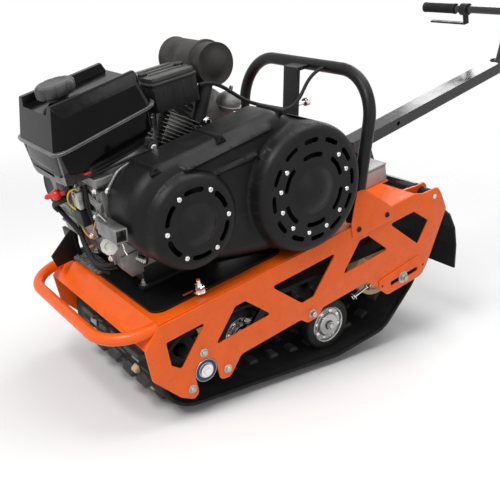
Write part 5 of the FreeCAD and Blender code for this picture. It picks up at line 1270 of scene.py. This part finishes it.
breather = {"spot": (-364, 30, 297), "axis": (-0.25, 0.25, 1)}
lathe(dome, [(0, -2), (29, -2), (29, 3), (26.5, 4), (26.5, 12), (22, 21), (14, 27.5), (6, 30), (0, 30.5)],
      breather["spot"], breather["axis"], 48)
lathe(dome, [(4.2, 29), (4.2, 42), (3.2, 43.5), (0, 43.5)], breather["spot"], breather["axis"], 16)
put("breather_dome", dome, "castAlloy")
single("carburettor_duct", "blackPlastic", rod,
       [(-262, 62, 292), (-272, 62, 312), (-284, 62, 336), (-300, 60, 366)], 15, 20, 5)
print("filter and muffler")

# recoil starter on the far side, seen along its own axis
recoil = {"spot": (-124, 0, 170), "axis": (0, -1, 0), "bars": 16, "bolts": 4, "boltRing": 109}
rims, vents, rimBolts, grip = bodies(4)
for body, profile, steps in (
        (rims, [(100, 225), (118.5, 225), (118.5, 229), (112, 231.5), (104, 231.5), (100, 229)], 96),
        (rims, [(40, 250), (84, 250), (86, 251.6), (84, 254), (78, 254.6), (74, 252.8), (44, 252.8),
                (40, 252)], 96),
        (vents, [(0, 256), (38, 256), (41, 257), (41, 260), (36, 261.5), (12, 261.5), (10, 260.4),
                 (0, 260.4)], 64)):
    lathe(body, profile, recoil["spot"], recoil["axis"], steps)
facing = alongAxis(recoil["spot"], recoil["axis"])
for turn in evenTurns(recoil["bars"]):  # raised bars between the air slots
    block(vents, (44, -3.2, 251), (76, 3.2, 256), 1.2, facing @ Matrix.Rotation(turn, 4, "Z"))
for n, turn in enumerate(evenTurns(recoil["bolts"], 0.5)):
    spot = facing @ Vector((*around((0, 0), recoil["boltRing"], turn), 231))
    hexBolt(rimBolts, spot, recoil["axis"], across=9, height=4.5, flange=7, spin=20 * n)
block(grip, (-38, -250, 234), (-24, -208, 249), 5, segments=4)
block(grip, (-36, -236, 226), (-28, -222, 237), 2.5)
put("recoil_rims", rims, "blackPlastic")
put("recoil_bars", vents, "scoopPlastic")
put("recoil_bolts", rimBolts, "zincSteel")
put("recoil_grip", grip, "softRubber")

# bolts round the chain case, which tapers from its big round to its small one
chain = {"big": (-399, 138), "bigRadius": 58, "small": (-78, -151), "smallRadius": 50, "face": -263,
         "margin": 9, "bigTurns": (-1.25, -0.42, 0.42, 1.25), "smallTurns": (-1.1, 0, 1.1),
         "sideShares": (0.33, 0.67)}
caseBolts, caseRim = bodies(2)
(bigX, bigZ), (smallX, smallZ) = chain["big"], chain["small"]
bigOut, smallOut = chain["bigRadius"] - chain["margin"], chain["smallRadius"] - chain["margin"]
run = math.atan2(bigZ - smallZ, bigX - smallX)
marks = [around(chain["big"], bigOut, run + turn) for turn in chain["bigTurns"]]
marks += [around(chain["small"], -smallOut, run + turn) for turn in chain["smallTurns"]]
for share in chain["sideShares"]:
    middle = (bigX + (smallX - bigX) * share, bigZ + (smallZ - bigZ) * share)
    marks += [around(middle, bigOut * (1 - share) + smallOut * share, run + side * math.pi / 2)
              for side in (-1, 1)]
for n, (x, z) in enumerate(marks):
    hexBolt(caseBolts, (x, chain["face"], z), (0, -1, 0), across=9, height=5, flange=7.4, spin=17 * n)
lathe(caseRim, [(18, 262.5), (30, 262.5), (30, 266), (27, 268), (18, 268)], (bigX, 0, bigZ), (0, -1, 0), 48)
lathe(caseRim, [(0, 262.5), (27, 262.5), (27, 266), (24, 268), (0, 268)], (smallX, 0, smallZ), (0, -1, 0), 48)
put("chain_case_bolts", caseBolts, "zincSteel")
put("chain_case_bosses", caseRim, "blackPlastic")

# the battery's grey case and lid are painted shade on a white case
battery = {"low": (-745, 33), "high": (-663, 112), "foot": 0.4, "rim": 40, "top": 47, "posts": (48, 97)}
(lowX, lowY), (highX, highY) = battery["low"], battery["high"]
caseLid, posts = bodies(2)
single("battery_case", "whiteCaseInPaintedShade", block, (lowX, lowY, battery["foot"]), (highX, highY, battery["rim"]), 3,
       stands=("battery",))
block(caseLid, (lowX - 1, lowY - 1, battery["rim"] + 0.5), (highX + 1, highY + 1, battery["top"]), 2)
for y in battery["posts"]:
    block(caseLid, (-690, y - 9, battery["top"] - 1), (-672, y + 9, battery["top"] + 3), 1.2)
    hexBolt(posts, (-681, y, battery["top"] + 3), upward, across=9, height=5, flange=7, spin=13)
put("battery_lid", caseLid, "whiteCaseInPaintedShade")
put("battery_posts", posts, "zincSteel")

barGrip = {"long": 124, "ribs": 22, "pitch": 4.6}
gripLow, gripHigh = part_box("handlebar_grips")
reach = (gripHigh.y - gripLow.y) / 2 * 1000
profile = [(11.6, reach - barGrip["long"]), (15.6, reach - barGrip["long"]), (16, reach - 123),
           (16, reach - 119), (14.6, reach - 117.5)]
for n in range(barGrip["ribs"]):
    start = reach - 114 + n * barGrip["pitch"]
    profile += [(13.6, start), (14.9, start + 0.9), (14.9, start + 2.6), (13.6, start + 3.5)]
profile += [(14.6, reach - 10), (15.6, reach - 8), (15.6, reach - 2), (13, reach), (0, reach)]
grips = bmesh.new()
for side in bothSides:
    lathe(grips, profile, (0, 0, 0), (0, side, 0), 36)
put("bar_grips", grips, "softRubber", rides="handlebar",
    at=Matrix.Translation((gripLow + gripHigh) / 2) @ toMetres, stands=("handlebar_grips",))
print("starter, chain case, battery and grips")


# outline of a side plate in two runs, on either side of the bearing's notch, with the rounding of each corner
plates = {"near": 228, "far": 224, "notch": (-78, -151), "notchRadius": 27.2, "windowRounding": 6,
          "foot": [(-51, -151), (-52, -194), (-38, -203), (-10, -182), (40, -112), (40, -40), (0, 0)],
          "footRounds": [0, 14, 14, 14, 8, 7, 2],
          "rear": [(-721, 0), (-747, -9), (-776, -11), (-800, -11), (-812, -32), (-829, -80), (-753, -201),
                   (-731, -226), (-603, -226), (-579, -199), (-543, -161), (-401, -161), (-384, -178),
                   (-352, -178), (-335, -161), (-168, -161), (-131, -199), (-107, -194), (-105, -151)],
          "rearRounds": [1, 6, 8, 14, 14, 12, 12, 12, 12, 12, 12, 16, 13, 13, 16, 16, 12, 12, 0],
          "windows": [[(-101, -43), (-6, -43), (-6, -99), (-27, -119)],
                      [(-200, -43), (-174, -43), (-111, -107), (-260, -107)],
                      [(-457, -43), (-270, -43), (-345, -122), (-379, -122)],
                      [(-558, -43), (-531, -43), (-469, -107), (-619, -107)],
                      [(-629, -43), (-712, -43), (-763, -87), (-722, -137)],
                      [(-714, -210), (-618, -210), (-618, -192), (-714, -192)]]}
notch = [around(plates["notch"], plates["notchRadius"], math.radians(180 - 10 * k)) for k in range(1, 18)]
outline = (filleted(plates["rear"], plates["rearRounds"]) + notch
           + filleted(plates["foot"], plates["footRounds"]))
openings = [filleted(window, plates["windowRounding"], 6) for window in plates["windows"]]
for side, label in zip(bothSides, ("left", "right")):
    single("frame_plate_" + label, "orangePaint", plate, outline, openings, side * plates["near"],
           side * plates["far"], 0.7, stands=("side_plate_" + label,))

# ear and tension plate on the outer face of each side plate
brackets = {"near": 231, "far": 228.2,
            "ear": [(-533, 79), (-553, 78), (-641, -3), (-640, -32), (-507, -32), (-507, 8)],
            "earRounds": [3, 9, 14, 10, 9, 6],
            "tension": [(-579, -176), (-577, -199), (-605, -226), (-720, -226), (-745, -198), (-715, -167)],
            "tensionRounds": [12, 13, 14, 12, 10, 8],
            "slot": [(-713, -207), (-616, -207), (-616, -195), (-713, -195)]}
ears = bmesh.new()
for side in bothSides:
    near, far = side * brackets["near"], side * brackets["far"]
    slab(ears, filleted(brackets["ear"], brackets["earRounds"]), far, near, 0.8)
    plate(ears, filleted(brackets["tension"], brackets["tensionRounds"]), [filleted(brackets["slot"], 5)],
          near, far)
put("frame_brackets", ears, "orangePaint", stands=("plate_brackets",))
print("side plates")

# cooling fins of the barrel, which lies along one way and is stacked along the other
barrel = {"spot": (-205, 62, 298), "along": (-0.82, 0, -0.57), "stacked": (-0.57, 0, 0.82), "fins": 9,
          "pitch": 7.6}
fins, linkBolts, rails = bodies(3)
finAt = (Matrix.Translation(barrel["spot"])
         @ Matrix((barrel["along"], acrossWay, barrel["stacked"])).transposed().to_4x4())
block(fins, (-30, -26, -34), (30, 18, 30), 6, finAt)
for n in range(barrel["fins"]):
    wide, foot = 44 - abs(n - 5) * 2, -32 + n * barrel["pitch"]
    block(fins, (-wide, -32, foot), (wide, 26, foot + 2), 0.8, finAt)
put("barrel_fins", fins, "finAlloy")
hexBolt(linkBolts, (-276, 78, 296), across=11, height=6, flange=9, spin=8)
lathe(linkBolts, [(0, 0), (4, 0), (4, 26), (9, 26.5), (10, 28), (10, 38), (8.6, 40), (0, 40)],
      (-562, 13, 234), (-1, 0, 0), 32)
put("link_bolts", linkBolts, "chromeSteel")

# flat rails inside the track loop, with two upright gussets each
innerRail = {"side": [(-398, -170), (-398, -186), (-562, -200), (-562, -184)], "near": 50, "far": 62,
             "gussets": (-458, -526), "slope": 0.085}
for side in bothSides:
    slab(rails, filleted(innerRail["side"], 3), side * innerRail["near"], side * innerRail["far"], 1)
    for x in innerRail["gussets"]:
        low = -172 + (x + 398) * innerRail["slope"]
        slab(rails, filleted([(x - 9, low), (x - 2, low + 26), (x + 2, low + 26), (x + 9, low)], 1),
             side * (innerRail["near"] + 2), side * (innerRail["far"] - 2), 0.8)
put("inner_rails", rails, "castAlloy")
single("corner_guard", "blackPaint", slab, [(-30, 76), (-20, 84), (46, 34), (40, 4), (-20, 6)],
       -172, -168, 0.8)
print("fins, rails and guard")
